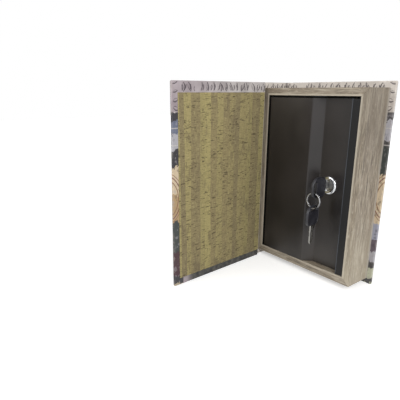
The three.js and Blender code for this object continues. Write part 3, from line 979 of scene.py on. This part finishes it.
# %% Wind the ring
def split_ring(name, place, radius, wire, depth, finish):
    """Flat wire wound twice round, with a soft step across from turn to turn."""
    steps, rounding = 192, 0.25 * mm
    cross_start, cross_length, start_angle = 0.94, 0.12, 200
    flat = depth / 2
    section = [(x * (wire / 2 - rounding) + dx, y * (flat / 2 - rounding) + dy)
               for x, y, start in ((1, 1, 0), (-1, 1, 90), (-1, -1, 180), (1, -1, 270))
               for dx, dy in arc((0, 0), rounding, start, start + 90, 3)]
    count = len(section)
    points, faces = [], []
    for i in range(steps + 1):
        turn = 2 * i / steps
        step = min(max((turn - cross_start) / cross_length, 0), 1)
        side = (step * step * (3 - 2 * step) - 0.5) * (flat + 0.04 * mm)
        angle = 2 * math.pi * turn + math.radians(start_angle)
        for dx, dy in section:
            r = radius - wire / 2 + dx
            points.append(place @ Vector((r * math.cos(angle), r * math.sin(angle), side + dy)))
        if i:
            for k in range(count):
                a, b = (i - 1) * count + k, (i - 1) * count + (k + 1) % count
                faces.append((a, b, b + count, a + count))
    faces += [tuple(range(count)), tuple(range(steps * count, (steps + 1) * count))]
    return add_mesh(name, points, faces, finish)


ring_low, ring_high = measure("split_ring")
ring_middle = (ring_low + ring_high) / 2
ring_radius = (ring_high.z - ring_low.z) / 2
ring_wire, ring_depth = 1.4 * mm, 2 * mm
ring_place = Matrix.Translation(ring_middle) @ Matrix.Rotation(math.radians(90), 4, "X")
ring_steel = bright_metal("ring_steel", ink(138, 138, 140), ink(178, 178, 180), (0.16, 0.3),
                          (0.3, 0.3, 0.3), 0.006)
key_ring = split_ring("key_ring", ring_place, ring_radius, ring_wire, ring_depth, ring_steel)
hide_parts("split_ring")
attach(key_ring, "key_ring")
print("ring is", round(2 * ring_radius / mm, 1), "mm across")

# %% [markdown]
# ## The printed cover
#
# The cover sheet is printed imitation leather in charcoal, with a worn,
# antique look. It carries a compass star with eight points inside a ring,
# two rows of lozenges and a ruled frame, in cream, tan and maroon. The sheet is
# glued over the board and its margins are turned in, and these show aged paper
# with a row of leaves, dark and pale panels whose print is smudged, and parts
# of a ring. Everything is drawn with distances: a point lies inside a lozenge
# where the sum of its two distances is small enough, and inside a star's arm
# where it is below a slanted line.

# %% Sizes of a cover, in its own axes
cover_low, cover_high = measure("front_cover_wrap", cover_place)
cover_width = cover_high.x - cover_low.x
cover_height = cover_high.z - cover_low.z
lining_low, lining_high = measure("front_cover_lining", cover_place)
foot_margin = lining_low.z - cover_low.z
head_margin = cover_high.z - lining_high.z
fore_margin = cover_high.x - lining_high.x
charcoal, soot, faded_black = ink(60, 60, 63), ink(36, 36, 38), ink(78, 74, 72)
cream, tan, maroon = ink(222, 203, 178), ink(188, 149, 96), ink(95, 40, 45)


# %% Draw the star
star_hub = 4.4
long_arms, short_arms = (62, 10), (40, 8)


def star_arm(look, x, z, reach, waist):
    """Inside (1) or outside (0) a star with four arms, and which half of an arm."""
    ax, az = look.calc("ABSOLUTE", x), look.calc("ABSOLUTE", z)
    line = look.plus(look.times(look.most(ax, az), waist),
                     look.times(look.least(ax, az), reach - waist))
    inside = look.rise(line, reach * waist + 6, reach * waist - 6)
    same = look.calc("GREATER_THAN", look.times(x, z), 0)
    return inside, look.gap(same, look.calc("GREATER_THAN", ax, az))


def star(look, art, x, z):
    """Eight arms, each with a light and a dark half, and a round hub."""
    u = look.times(look.plus(x, z), math.sqrt(0.5))
    v = look.times(look.minus(x, z), math.sqrt(0.5))
    inside, half = star_arm(look, u, v, *short_arms)
    art = look.over(look.over(tan, maroon, half), art, inside)
    inside, half = star_arm(look, x, z, *long_arms)
    art = look.over(look.over(cream, tan, half), art, inside)
    return look.over(maroon, art, look.rise(look.distance(x, z), star_hub, 4))


# %% Draw the ring, the lozenges and the frame
dial_inner, dial_outer, dial_ticks = 44, 53, 36
ring_lines = (43, 54, 57)
row_margin, row_count, row_height = 16, 8, 26
lozenge_half_width, lozenge_half_height = 6.2, 9


def lozenge_row(look, art, x, z, width, level):
    """A row of nested lozenges between two lines."""
    pitch = (width - 2 * row_margin) / row_count
    row = look.gap(z, level)
    cell = look.gap(look.calc("MODULO", look.minus(x, row_margin), pitch), pitch / 2)
    lozenge = look.plus(look.calc("DIVIDE", cell, lozenge_half_width),
                        look.calc("DIVIDE", row, lozenge_half_height))
    strip = look.between(x, row_margin, width - row_margin, 0.2)
    for colour, size in ((cream, 0.98), (maroon, 0.6), (tan, 0.24)):
        art = look.layer(colour, art, lozenge, size + 0.06, size, strip)
    return look.over(tan, art, look.times(look.between(row, 11, 11.8, 0.15), strip))


def cover_art(look, x, z, width, height):
    """The outside print of one cover. X and Z are millimetres from the hinge and the foot."""
    mottle = look.noise((16, 16, 16), detail=5, rough=0.6)
    art = look.tones(mottle, (0.3, soot), (0.55, charcoal), (0.8, faded_black))
    px, pz = look.minus(x, width / 2), look.minus(z, height / 2)
    radius = look.distance(px, pz)
    angle = look.calc("ARCTAN2", pz, px)
    ticks = look.calc("FRACT", look.times(angle, dial_ticks / (2 * math.pi)))
    dial = look.between(radius, dial_inner, dial_outer, 0.3)
    art = look.over(tan, art, look.times(dial, look.calc("GREATER_THAN", ticks, 0.5)))
    for line in ring_lines:
        art = look.over(cream, art, look.between(radius, line - 0.5, line + 0.5, 0.25))
    art = star(look, art, px, pz)
    for level in (row_height, height - row_height):
        art = lozenge_row(look, art, x, z, width, level)
    side = look.least(look.minus(width, x), x, z, look.minus(height, z))
    for line, half_width in ((9, 0.7), (11, 0.25)):
        art = look.over(tan, art, look.between(side, line - half_width, line + half_width, 0.15))
    return art


# %% Draw aged paper with a band of leaves
leaf_ink = ink(56, 47, 54)


def leaf_marks(look, x, top, pitch, middle, tallness):
    """Hollow leaves in a row. Each has its own lean, width and place."""
    cell = look.calc("DIVIDE", x, pitch)
    number = look.calc("FLOOR", cell)
    luck, other = look.chance(number), look.chance(look.plus(number, 0.37))
    u = look.times(look.minus(look.calc("FRACT", cell), 0.5), pitch)
    u = look.plus(u, look.times(look.minus(other, 0.5), pitch * 0.3))
    v = look.minus(top, look.plus(middle, other))
    lean = look.times(look.minus(luck, 0.5), 1.1)
    slanted = look.plus(u, look.times(v, lean))
    tall = look.calc("DIVIDE", v, tallness)
    leaf = look.minus(1, look.times(tall, tall))
    outer = look.times(leaf, look.plus(look.times(other, pitch * 0.22), pitch * 0.12))
    inner = look.minus(look.times(outer, 0.7), 0.45)
    return look.times(look.calc("LESS_THAN", look.calc("ABSOLUTE", slanted), outer),
                      look.calc("GREATER_THAN", look.gap(slanted, 0.5), inner))


def paper_art(look, x, top, width, front_shade=1.0):
    """Aged paper. X and top are millimetres from hinge and head, and front_shade is painted shade
    that darkens the paper, most at the fore edge.
    """
    stain = look.noise((22, 22, 22), detail=4)
    # Painted shade: with front_shade the paper is darker, and duller towards the fore edge.
    low, high = (ink(146, 139, 137), ink(196, 190, 187)) if front_shade else (
        ink(182, 174, 166), ink(212, 205, 197))
    pale = look.tones(stain, (0.3, low), (0.7, high))
    dull = look.tones(stain, (0.3, ink(138, 126, 130)), (0.7, ink(178, 167, 171)))
    art = look.over(dull, pale, look.times(look.rise(x, width * 0.2, width), front_shade))
    marks = look.most(leaf_marks(look, x, top, 9.3, 5.8, 5.2),
                      leaf_marks(look, look.plus(x, 43.7), top, 6.1, 6.6, 3.6))
    shown = look.times(look.calc("GREATER_THAN", look.noise((15, 15, 60), detail=0), 0.4),
                       look.rise(x, width - 12, width - 14))
    return look.over(leaf_ink, art, look.times(look.times(marks, shown), 0.85))


# %% Draw the turned-in margins
night, moss, wine, stone = ink(46, 45, 49), ink(54, 59, 57), ink(64, 38, 44), ink(72, 70, 70)
slate, mauve, lilac = ink(98, 104, 122), ink(96, 86, 94), ink(150, 152, 166)
ash, ochre, sand = ink(165, 163, 168), ink(168, 142, 106), ink(170, 156, 132)
sage, parchment, linen = ink(183, 184, 162), ink(198, 180, 152), ink(193, 184, 180)
ring_brown = ink(120, 84, 60)
fore_panels = [(0, sand), (0.05, night), (0.1, wine), (0.22, moss), (0.37, ochre), (0.5, parchment),
               (0.63, night), (0.71, ash), (0.77, slate), (0.83, night), (0.87, linen)]
back_panels = [(0, sage), (0.05, stone), (0.08, sage), (0.14, stone), (0.165, ash), (0.215, mauve),
               (0.285, lilac), (0.36, parchment), (0.6, moss), (0.715, stone), (0.745, ash),
               (0.825, stone), (0.868, linen)]
print_width, leaves_end, panels_start = 13, 43, 33
ring_centre, ring_outside = 0.46, 20
ring_bands = ((31, 0.5, maroon), (34, 0.35, ring_brown), (27, 0.5, ring_brown))


def margin_art(look, x, z, width, height, front_shade):
    """Paper, darker panels and parts of a ring, for the margins inside the covers."""
    top, side = look.minus(height, z), look.minus(width, x)
    art = paper_art(look, x, top, width, front_shade)
    flap = look.rise(side, print_width + 1, print_width - 1)
    column = leaf_marks(look, z, side, 8.3, 4.2, 3.6)
    upright = look.times(flap, look.rise(top, leaves_end + 1, leaves_end - 1))
    art = look.over(leaf_ink, art, look.times(look.times(column, upright), 0.8))
    blotch = look.noise((7, 7, 11), detail=4, rough=0.62)
    smudge = look.noise((4.6, 4.6, 5.7), detail=4, rough=0.6)
    share = look.calc("DIVIDE", look.plus(z, look.times(blotch, 26)), height + 13)
    panels = look.tones(share, *(fore_panels if front_shade else back_panels), steps=True)
    panels = look.layer(ink(158, 152, 156), panels, smudge, 0.55, 0.66, 0.4)
    panels = look.layer(ink(58, 54, 58), panels, smudge, 0.45, 0.34, 0.5)
    for rule in (0.712, 0.79):
        line = look.between(look.calc("DIVIDE", z, height), rule - 0.0025, rule + 0.0025, 0.001)
        panels = look.over(ink(186, 182, 178), panels, look.times(line, 0.7))
    below_leaves = look.rise(top, panels_start - 1, panels_start + 1)
    art = look.over(panels, art, look.times(flap, below_leaves))
    ring = look.distance(look.minus(z, height * ring_centre), look.plus(side, ring_outside))
    for line, half_width, colour in ring_bands:
        band = look.between(ring, line - half_width, line + half_width, 0.3)
        art = look.over(colour, art, look.times(band, flap))
    foot = look.times(look.rise(z, 12, 10), look.rise(side, 14, 30))
    return look.over(look.tones(smudge, (0.4, ink(38, 38, 38)), (0.66, ink(78, 76, 70))), art, foot)


# %% Wear, leather grain and the finished cover sheet
def cover_sheet(name, outer, place_x=0.0):
    """The printed sheet: art outside, margins inside, and wear over both."""
    look = Finish(name, IOR=1.5)
    x, y, z = look.axes()
    if place_x:
        x = look.minus(x, place_x / mm)
    width, height = cover_width / mm, cover_height / mm
    outside = cover_art(look, x, z, width, height)
    # The front cover's margins get painted shade and their own panels.
    inside = margin_art(look, x, z, width, height, front_shade=float(outer < 0))
    face = look.rise(look.times(y, outer), 0.4, 0.6)
    art = look.over(outside, inside, face)
    scuffs = look.noise((7, 7, 7), detail=8, rough=0.7)
    scratches = look.noise((2.2, 2.2, 40), detail=3, rough=0.7, swirl=1.2)
    scrapes = look.noise((34, 34, 0.7), detail=2, rough=0.6, swirl=0.15)
    worn = look.times(look.rise(scuffs, 0.58, 0.68), 0.55)
    art = look.over(ink(74, 72, 72), art, look.times(worn, face))
    art = look.layer(ink(150, 146, 140), art, scratches, 0.71, 0.74, 0.35)
    scraped = look.times(look.rise(scrapes, 0.68, 0.72), look.rise(scuffs, 0.42, 0.56))
    art = look.over(ink(168, 164, 158), art, look.times(scraped, look.times(face, 0.6)))
    edge = look.least(look.minus(width, x), z, look.minus(height, z))
    rubbed = look.times(look.rise(edge, 0.9, 0.1), look.rise(scuffs, 0.48, 0.62))
    look.colour(look.over(ink(140, 132, 122), art, look.times(rubbed, 0.5)))
    look.rough(scuffs, 0.42, 0.66)
    look.relief(look.cells((0.9, 0.9, 0.9), edges=True), 0.05, 0.35)
    return look.material


# %% [markdown]
# ## Wrapping a board
#
# A wrapped board has soft edges where the sheet goes round, and flaps whose
# ends meet in mitres at the corners. The sheet's skin is made as a row of
# cross-sections that walk round three sides of the board, fanning out at the
# corners. Each runs from the outer face over the edge to the window's rim, and
# a Solidify step gives the skin the sheet's thickness, inwards.


# %% Wrap a cover
def wrapped_board(name, low, high, outer, finish):
    """The skin of a cover in its own axes. Outer is the side (+1, -1) that is printed all over."""
    roll, corner, lead = 0.95 * mm, 1.7 * mm, 0.35 * mm
    half = (high.y - low.y) / 2
    middle = (high.y + low.y) / 2
    z0, z1, x1 = low.z, high.z, high.x
    walk = [(Vector((low.x, z0)), Vector((0, -1))), (Vector((x1 - corner, z0)), Vector((0, -1)))]
    for centre, start in (((x1 - corner, z0 + corner), -90), ((x1 - corner, z1 - corner), 0)):
        for x, z in arc((0, 0), 1, start, start + 90, 8):
            walk.append((Vector(centre) + Vector((x, z)) * corner, Vector((x, z))))
    walk += [(Vector((x1 - corner, z1)), Vector((0, 1))), (Vector((low.x, z1)), Vector((0, 1)))]
    window_x, window_low, window_high = x1 - fore_margin, z0 + foot_margin, z1 - head_margin
    points, faces = [], []
    bends = arc((0, 0), roll, -90, 90, 12)
    for spot, out in walk:
        section = [(spot - out * (roll + lead), -half)]
        for dx, dy in bends:
            shift = roll - half if dy <= 0 else half - roll
            section.append((spot - out * (roll - dx), dy + shift))
        section.append((spot - out * (roll + lead), half))
        rim_z = window_low if spot.y < (z0 + z1) / 2 else window_high
        section.append((Vector((min(spot.x, window_x), rim_z)), half))
        points += [Vector((p.x, middle - outer * y, p.y)) for p, y in section]
    rows = len(bends) + 3
    for i in range(len(walk) - 1):
        for k in range(rows - 1):
            a, b = i * rows + k, i * rows + k + 1
            faces.append((a, b, b + rows, a + rows))
    faces.append(tuple(i * rows for i in range(len(walk))))
    piece = add_mesh(name, points, faces, finish)
    top = max(piece.data.polygons, key=lambda face: face.area)
    if top.normal.y * outer < 0:
        piece.data.flip_normals()
    thick = piece.modifiers.new("thickness", "SOLIDIFY")
    thick.thickness = 0.4 * mm
    thick.offset = -1
    return settle(piece)


front_sheet = cover_sheet("front_cover_print", -1)
front_wrap = wrapped_board("front_cover_sheet", cover_low, cover_high, -1, front_sheet)
front_wrap.matrix_world = cover_place
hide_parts("front_cover_wrap")
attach(front_wrap, "front_cover")

back_low, back_high = measure("back_cover_wrap")
back_sheet = cover_sheet("back_cover_print", 1, place_x=back_low.x)
back_wrap = wrapped_board("back_cover_sheet", back_low, back_high, 1, back_sheet)
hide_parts("back_cover_wrap")
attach(back_wrap, "root")
print("covers are", round(cover_width / mm, 1), "by", round(cover_height / mm, 1), "mm")

# %% [markdown]
# ## The cork lining
#
# Cork cloth is cut from pressed blocks into thin veneer and laid in upright
# strips, some greener, some browner. Dark flecks, the bark's pores, lie across
# the strips, and fine lines run with them. Each strip has its own random number,
# which shifts the colour and the pattern, so that flecks break off at a strip's
# edge as they do in veneer.


# %% Cork in strips
cork_strip = 9.5
cork_shade, cork_pore = ink(104, 92, 70), ink(62, 50, 36)
cork_fibre, cork_hollow = ink(178, 167, 118), ink(96, 84, 58)
cork_ridge, cork_groove = ink(182, 171, 124), ink(84, 73, 52)


def cork_cloth():
    """Strips of veneer, each with its own tone and its own cut through the cork."""
    look = Finish("cork_cloth", Roughness=0.85)
    x, _, z = look.axes()
    wander = look.times(look.noise((300, 300, 60), detail=2), 3)
    broad = look.times(look.noise((19, 900, 900), detail=1), 21)
    shifted = look.plus(x, look.plus(wander, broad))
    luck = look.chance(look.calc("FLOOR", look.calc("DIVIDE", shifted, cork_strip)))
    drop = look.plus(z, look.times(luck, 300))
    local = look.point(look.plus(x, look.times(luck, 90)), 0.0, drop)
    base = look.tones(luck, (0.0, ink(142, 131, 88)), (0.35, ink(156, 145, 96)),
                      (0.65, ink(136, 123, 86)), (1.0, ink(122, 110, 80)))
    clouds = look.noise((13, 13, 30), detail=5, rough=0.6, vector=local)
    fibres = look.noise((0.8, 0.8, 9), detail=4, rough=0.7, vector=local)
    lines = look.noise((7, 1, 0.9), detail=3, rough=0.6, vector=local)
    crowd = look.noise((17, 17, 22), detail=2, vector=local)

    def pores(lengths, lean, start, detail):
        """Dark pores that lie across the strip, and crowd in some places."""
        slant = look.point(x, luck, look.plus(drop, look.times(x, lean)))
        spots = look.noise(lengths, detail=detail, rough=0.62, vector=slant)
        edge = look.minus(start, look.times(crowd, 0.2))
        return look.calc("MULTIPLY", look.minus(spots, edge), 16, clamp=True)

    base = look.layer(cork_shade, base, clouds, 0.5, 0.68, 0.75)
    base = look.layer(cork_fibre, base, fibres, 0.52, 0.68, 0.55)
    base = look.layer(cork_hollow, base, fibres, 0.46, 0.3, 0.6)
    base = look.layer(cork_groove, base, lines, 0.52, 0.66, 0.4)
    base = look.layer(cork_ridge, base, lines, 0.45, 0.33, 0.35)
    dark = look.most(pores((6, 1, 1.6), -0.1, 0.72, 2), pores((5, 1, 4.2), 0.3, 0.74, 5),
                     pores((14, 1, 1.8), 0.06, 0.7, 3))
    look.colour(look.over(cork_pore, base, look.times(dark, 0.8)))
    look.relief(look.minus(look.times(fibres, 0.4), dark), 0.18, 0.6)
    return look.material


cork = cork_cloth()
lining_edge = 0.25 * mm
lining_middle = (lining_low + lining_high) / 2
corners = [(lining_low.x, lining_low.z), (lining_high.x, lining_low.z),
           (lining_high.x, lining_high.z), (lining_low.x, lining_high.z)]
upright = Matrix(((1, 0, 0, 0), (0, 0, -1, lining_middle.y), (0, 1, 0, 0), (0, 0, 0, 1)))
cork_lining = plate("cork_lining", [corners], lining_high.y - lining_low.y, lining_edge,
                    upright, cork)
cork_lining.matrix_world = cover_place
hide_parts("front_cover_lining")
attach(cork_lining, "front_cover")

# %% [markdown]
# ## The spine
#
# The spine bows outwards and has four raised bands, which on an old binding
# hide the sewing cords. Its sheet is one surface: a grid over the width and the
# height, bowed by a sine and lifted by a soft bump at each band.


# %% Bands of the spine and its print
band_shares = [0.055, 0.325, 0.665, 0.945]
band_height, band_rise = 24 * mm, 2.2 * mm
band_line = 10.4


def spine_print():
    """Worn grey leather print, with a ruled line on both sides of each band."""
    look = Finish("spine_print", IOR=1.5)
    _, _, z = look.axes()
    mottle = look.noise((10, 10, 14), detail=6, rough=0.65)
    art = look.tones(mottle, (0.3, ink(64, 64, 64)), (0.55, ink(98, 100, 98)),
                     (0.75, ink(124, 124, 118)))
    for share in band_shares:
        away = look.gap(z, share * cover_height / mm)
        line = look.between(away, band_line, band_line + 0.8, 0.15)
        art = look.over(tan, art, look.times(line, 0.9))
        art = look.layer(soot, art, away, 8, 5, 0.7)
    scuffs = look.noise((6, 6, 6), detail=8, rough=0.7)
    look.colour(look.layer(ink(158, 152, 142), art, scuffs, 0.6, 0.7, 0.6))
    look.rough(scuffs, 0.45, 0.7)
    look.relief(look.cells((0.9, 0.9, 0.9), edges=True), 0.05, 0.35)
    return look.material


# %% Bow the spine
spine_low, spine_high = measure("spine_wrap")
spine_bow = 3.6 * mm
spine_root = measure("spine_core")[0].x + spine_bow + band_rise
spine_inner, spine_outer = 0.3 * mm, 0.8 * mm
spine_middle = 0.55 * mm


def spine_lift(z):
    """How far the bands lift the spine at a height."""
    shares = [min(abs(z - share * cover_height) / (band_height / 2), 1) for share in band_shares]
    return max(band_rise * math.cos(share * math.pi / 2) ** 2 for share in shares)


def spine_point(across, z, offset):
    """A point of the bowed spine. Across goes from 0 at the front cover to 1 at the back."""
    rise = math.sin(math.pi * across)
    front, back = spine_low.y, spine_high.y
    return Vector((spine_root - offset - (spine_bow + spine_lift(z)) * rise,
                   front + (back - front) * across, z))


def spine_sheet_piece():
    """A grid for each face of the sheet, and quads round their rim."""
    columns, rows = 28, 150
    points, faces = [], []
    for offset in (spine_inner, spine_outer):
        for k in range(rows + 1):
            for i in range(columns + 1):
                points.append(spine_point(i / columns, spine_high.z * k / rows, offset))
    layer = (columns + 1) * (rows + 1)
    for k in range(rows):
        for i in range(columns):
            a = k * (columns + 1) + i
            quad = (a, a + 1, a + columns + 2, a + columns + 1)
            faces.append(quad)
            faces.append(tuple(v + layer for v in quad[::-1]))
    rim = list(range(columns + 1))
    rim += [k * (columns + 1) + columns for k in range(1, rows + 1)]
    rim += [rows * (columns + 1) + i for i in range(columns - 1, -1, -1)]
    rim += [k * (columns + 1) for k in range(rows - 1, 0, -1)]
    for a, b in zip(rim, rim[1:] + rim[:1]):
        faces.append((a, b, b + layer, a + layer))
    return add_mesh("spine_sheet", points, faces, spine_print())


spine_piece = spine_sheet_piece()
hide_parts("spine_wrap")
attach(spine_piece, "root")
print("spine root lies at", round(spine_root / mm, 1), "mm")

# %% [markdown]
# ## The flexible joints
#
# Between the spine and the front cover only the sheet and its lining are left,
# so the book can open there. The joint bends at two creases, and one piece
# crosses each crease. The joint at the back cover is one plain sheet, because
# the case keeps that cover from moving. The sheets carry their places at rest,
# so that their print stays put when they bend.

# %% Finish of the joint and of the spine's lining
lining_width = 200


def spine_lining():
    """Paper on the inner face of the spine, like the margins beside it."""
    look = Finish("spine_lining", Roughness=0.7)
    _, y, z = look.axes()
    look.colour(paper_art(look, y, look.minus(cover_height / mm, z), lining_width, 0.0))
    look.relief(look.noise((0.6, 0.6, 0.6), detail=3), 0.04, 0.4)
    return look.material


def joint_cloth():
    """Leather outside, brown cloth inside, and paper along the head."""
    look = Finish("joint_cloth", IOR=1.5)
    look.from_rest()
    x, y, z = look.axes()
    mottle = look.noise((16, 16, 16), detail=5, rough=0.6)
    leather = look.tones(mottle, (0.3, soot), (0.55, charcoal), (0.8, faded_black))
    weave = look.noise((0.8, 0.8, 3), detail=3)
    cloth = look.tones(weave, (0.35, ink(74, 66, 50)), (0.65, ink(104, 94, 70)))
    top = look.minus(cover_height / mm, z)
    # The joint's paper gets a little painted shade.
    paper = paper_art(look, look.minus(x, y), top, lining_width, 0.3)
    lined = look.over(paper, cloth, look.rise(top, head_margin / mm + 0.3, head_margin / mm - 0.3))
    inside = look.rise(look.stored("inside", "Fac"), 0.4, 0.6)
    look.colour(look.over(lined, leather, inside))
    look.rough(mottle, 0.5, 0.7)
    look.relief(look.cells((0.9, 0.9, 0.9), edges=True), 0.05, 0.35)
    return look.material


finish_node("spine_core", spine_lining())

# %% Joint sheets
joint_length = (cover_pivot - spine_pivot).length
strip_way = Vector((math.cos(strip_angle), math.sin(strip_angle)))
cover_way = Vector((math.cos(cover_angle), math.sin(cover_angle)))
strip_middle = spine_pivot.xy + strip_way * joint_length / 2


def joint_sheet(name, corners, bend, ends, finish):
    """A sheet along a bent path, thicker or thinner from end to end."""
    path = eased(corners, bend, steps=10)
    lengths = [0.0]
    for a, b in zip(path, path[1:]):
        lengths.append(lengths[-1] + (b - a).length)
    sides = [[], []]
    for i, point in enumerate(path):
        along = (path[min(i + 1, len(path) - 1)] - path[max(i - 1, 0)]).normalized()
        share = lengths[i] / lengths[-1]
        thickness = ends[0] + (ends[1] - ends[0]) * share ** 2
        across = Vector((-along.y, along.x)) * thickness / 2
        sides[0].append(point + across)
        sides[1].append(point - across)
    piece = prism(name, sides[0] + sides[1][::-1], 0, cover_height, finish)
    case_corner = Vector((case_low.x, case_low.y))
    lined = min(sides, key=lambda side: (side[len(side) // 2] - case_corner).length)
    piece.data.attributes.new("rest", "FLOAT_VECTOR", "POINT")
    piece.data.attributes.new("inside", "FLOAT", "POINT")
    rest, inside = piece.data.attributes["rest"], piece.data.attributes["inside"]
    for vertex in piece.data.vertices:
        rest.data[vertex.index].vector = vertex.co
        gap = min((vertex.co.xy - point).length for point in lined)
        inside.data[vertex.index].value = float(gap < 0.01 * mm)
    return piece


spine_end = spine_point(0, 0, spine_middle).xy
joint_finish = joint_cloth()
front_joint = joint_sheet("spine_joint_sheet", [spine_end, spine_pivot.xy, strip_middle], 0.5 * mm,
                          (0.5 * mm, 0.8 * mm), joint_finish)
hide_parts("front_hinge_strip")
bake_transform(front_joint)
cover_edge = cover_pivot.xy + cover_way * 0.35 * mm
cover_joint = joint_sheet("cover_joint_sheet",
                          [strip_middle, cover_pivot.xy, cover_edge + cover_way * 1.0 * mm],
                          0.6 * mm, (0.8 * mm, 1.9 * mm), joint_finish)
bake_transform(cover_joint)
back_strip_low, back_strip_high = measure("back_hinge_strip")
strip_line = (back_strip_low.y + back_strip_high.y) / 2
back_joint = joint_sheet("back_joint_sheet",
                         [spine_point(1, 0, spine_middle).xy,
                          (back_strip_low.x + 0.4 * mm, strip_line),
                          (back_low.x + 1.0 * mm, strip_line)],
                         0.5 * mm, (0.5 * mm, 1.2 * mm), joint_finish)
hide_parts("back_hinge_strip")
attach(back_joint, "root")
print("joints of the covers are", round(joint_length / mm, 1), "mm wide between their creases")

# %% [markdown]
# ## Floor, light and camera
#
# The book stands on a pale floor in front of a pale backdrop, both of which
# reach white for the camera and for reflections, while the floor keeps a soft
# shadow. Two large soft lamps and the sky light the object at a plain level.
# The camera stands where the photograph was taken: to the right, at the
# height of the book's head, looking slightly down.


# %% Floor and sky
def seen_ray(tree):
    """1 for the camera's rays, and for those that metal and glass send on."""
    path = tree.nodes.new("ShaderNodeLightPath")
    total = path.outputs["Is Camera Ray"]
    for name in ("Is Glossy Ray", "Is Transmission Ray"):
        node = tree.nodes.new("ShaderNodeMath")
        node.operation = "MAXIMUM"
        tree.links.new(total, node.inputs[0])
        tree.links.new(path.outputs[name], node.inputs[1])
        total = node.outputs[0]
    return total


near_glow, far_glow = 0.45, 0.4


def floor_finish():
    """A pale floor that glows white for the camera, and more so far from the object."""
    look = Finish("pale_floor", Roughness=0.9)
    fine = look.noise((3, 3, 3), detail=2)
    look.colour(look.tones(fine, (0.3, ink(232, 232, 232)), (0.7, ink(236, 236, 236))))
    look.shader.inputs["Emission Color"].default_value = (1, 1, 1, 1)
    x, y, _ = look.axes()
    away = look.rise(look.distance(x, y), 350, 1100)
    glow = look.plus(near_glow, look.times(away, far_glow))
    look.feed(look.shader.inputs["Emission Strength"], look.times(seen_ray(look.tree), glow))
    return look.material


floor_reach = 3.0
floor = add_mesh("floor", [(-floor_reach, -floor_reach, 0), (floor_reach, -floor_reach, 0),
                           (floor_reach, floor_reach, 0), (-floor_reach, floor_reach, 0)],
                 [(0, 1, 2, 3)], floor_finish())

world = bpy.data.worlds.new("studio")
scene.world = world
world.use_nodes = True
sky = world.node_tree.nodes["Background"]
strength = world.node_tree.nodes.new("ShaderNodeMix")
lit_strength, seen_strength = 0.55, 1.0
strength.inputs[2].default_value = lit_strength
strength.inputs[3].default_value = seen_strength
world.node_tree.links.new(seen_ray(world.node_tree), strength.inputs[0])
world.node_tree.links.new(strength.outputs[0], sky.inputs["Strength"])
sky.inputs["Color"].default_value = (1, 1, 1, 1)


# %% Lamps
def soft_lamp(name, spot, aim, size, watts):
    lamp = bpy.data.lights.new(name, "AREA")
    lamp.shape = "RECTANGLE"
    lamp.size, lamp.size_y = size
    lamp.energy = watts
    stand = bpy.data.objects.new(name, lamp)
    stand.location = spot
    stand.rotation_mode = "QUATERNION"
    stand.rotation_quaternion = (Vector(aim) - Vector(spot)).to_track_quat("-Z", "Y")
    scene.collection.objects.link(stand)


soft_lamp("key_light", (1.1, -0.7, 0.9), (0, -0.05, 0.1), (0.8, 0.8), 14)
soft_lamp("fill_light", (-0.5, -1.3, 0.8), (0, 0, 0.1), (0.8, 0.8), 6)

# %% Camera
camera_spot = Vector((292.78, -431.79, 229.07)) * mm
yaw, pitch, roll = (math.radians(value) for value in (-52.647, -15.611, 0.106))
lens, sensor = 35.149, 36
ahead = Vector((math.sin(yaw) * math.cos(pitch), math.cos(yaw) * math.cos(pitch), math.sin(pitch)))
view = bpy.data.cameras.new("photograph")
view.sensor_width = sensor
view.lens = lens
camera = bpy.data.objects.new("photograph", view)
camera.rotation_mode = "QUATERNION"
camera.rotation_quaternion = (ahead.to_track_quat("-Z", "Y")
                              @ Matrix.Rotation(roll, 3, "Z").to_quaternion())
camera.location = camera_spot
scene.collection.objects.link(camera)
scene.camera = camera
scene.view_settings.view_transform = "Standard"
print("camera looks along", [round(v, 3) for v in ahead])
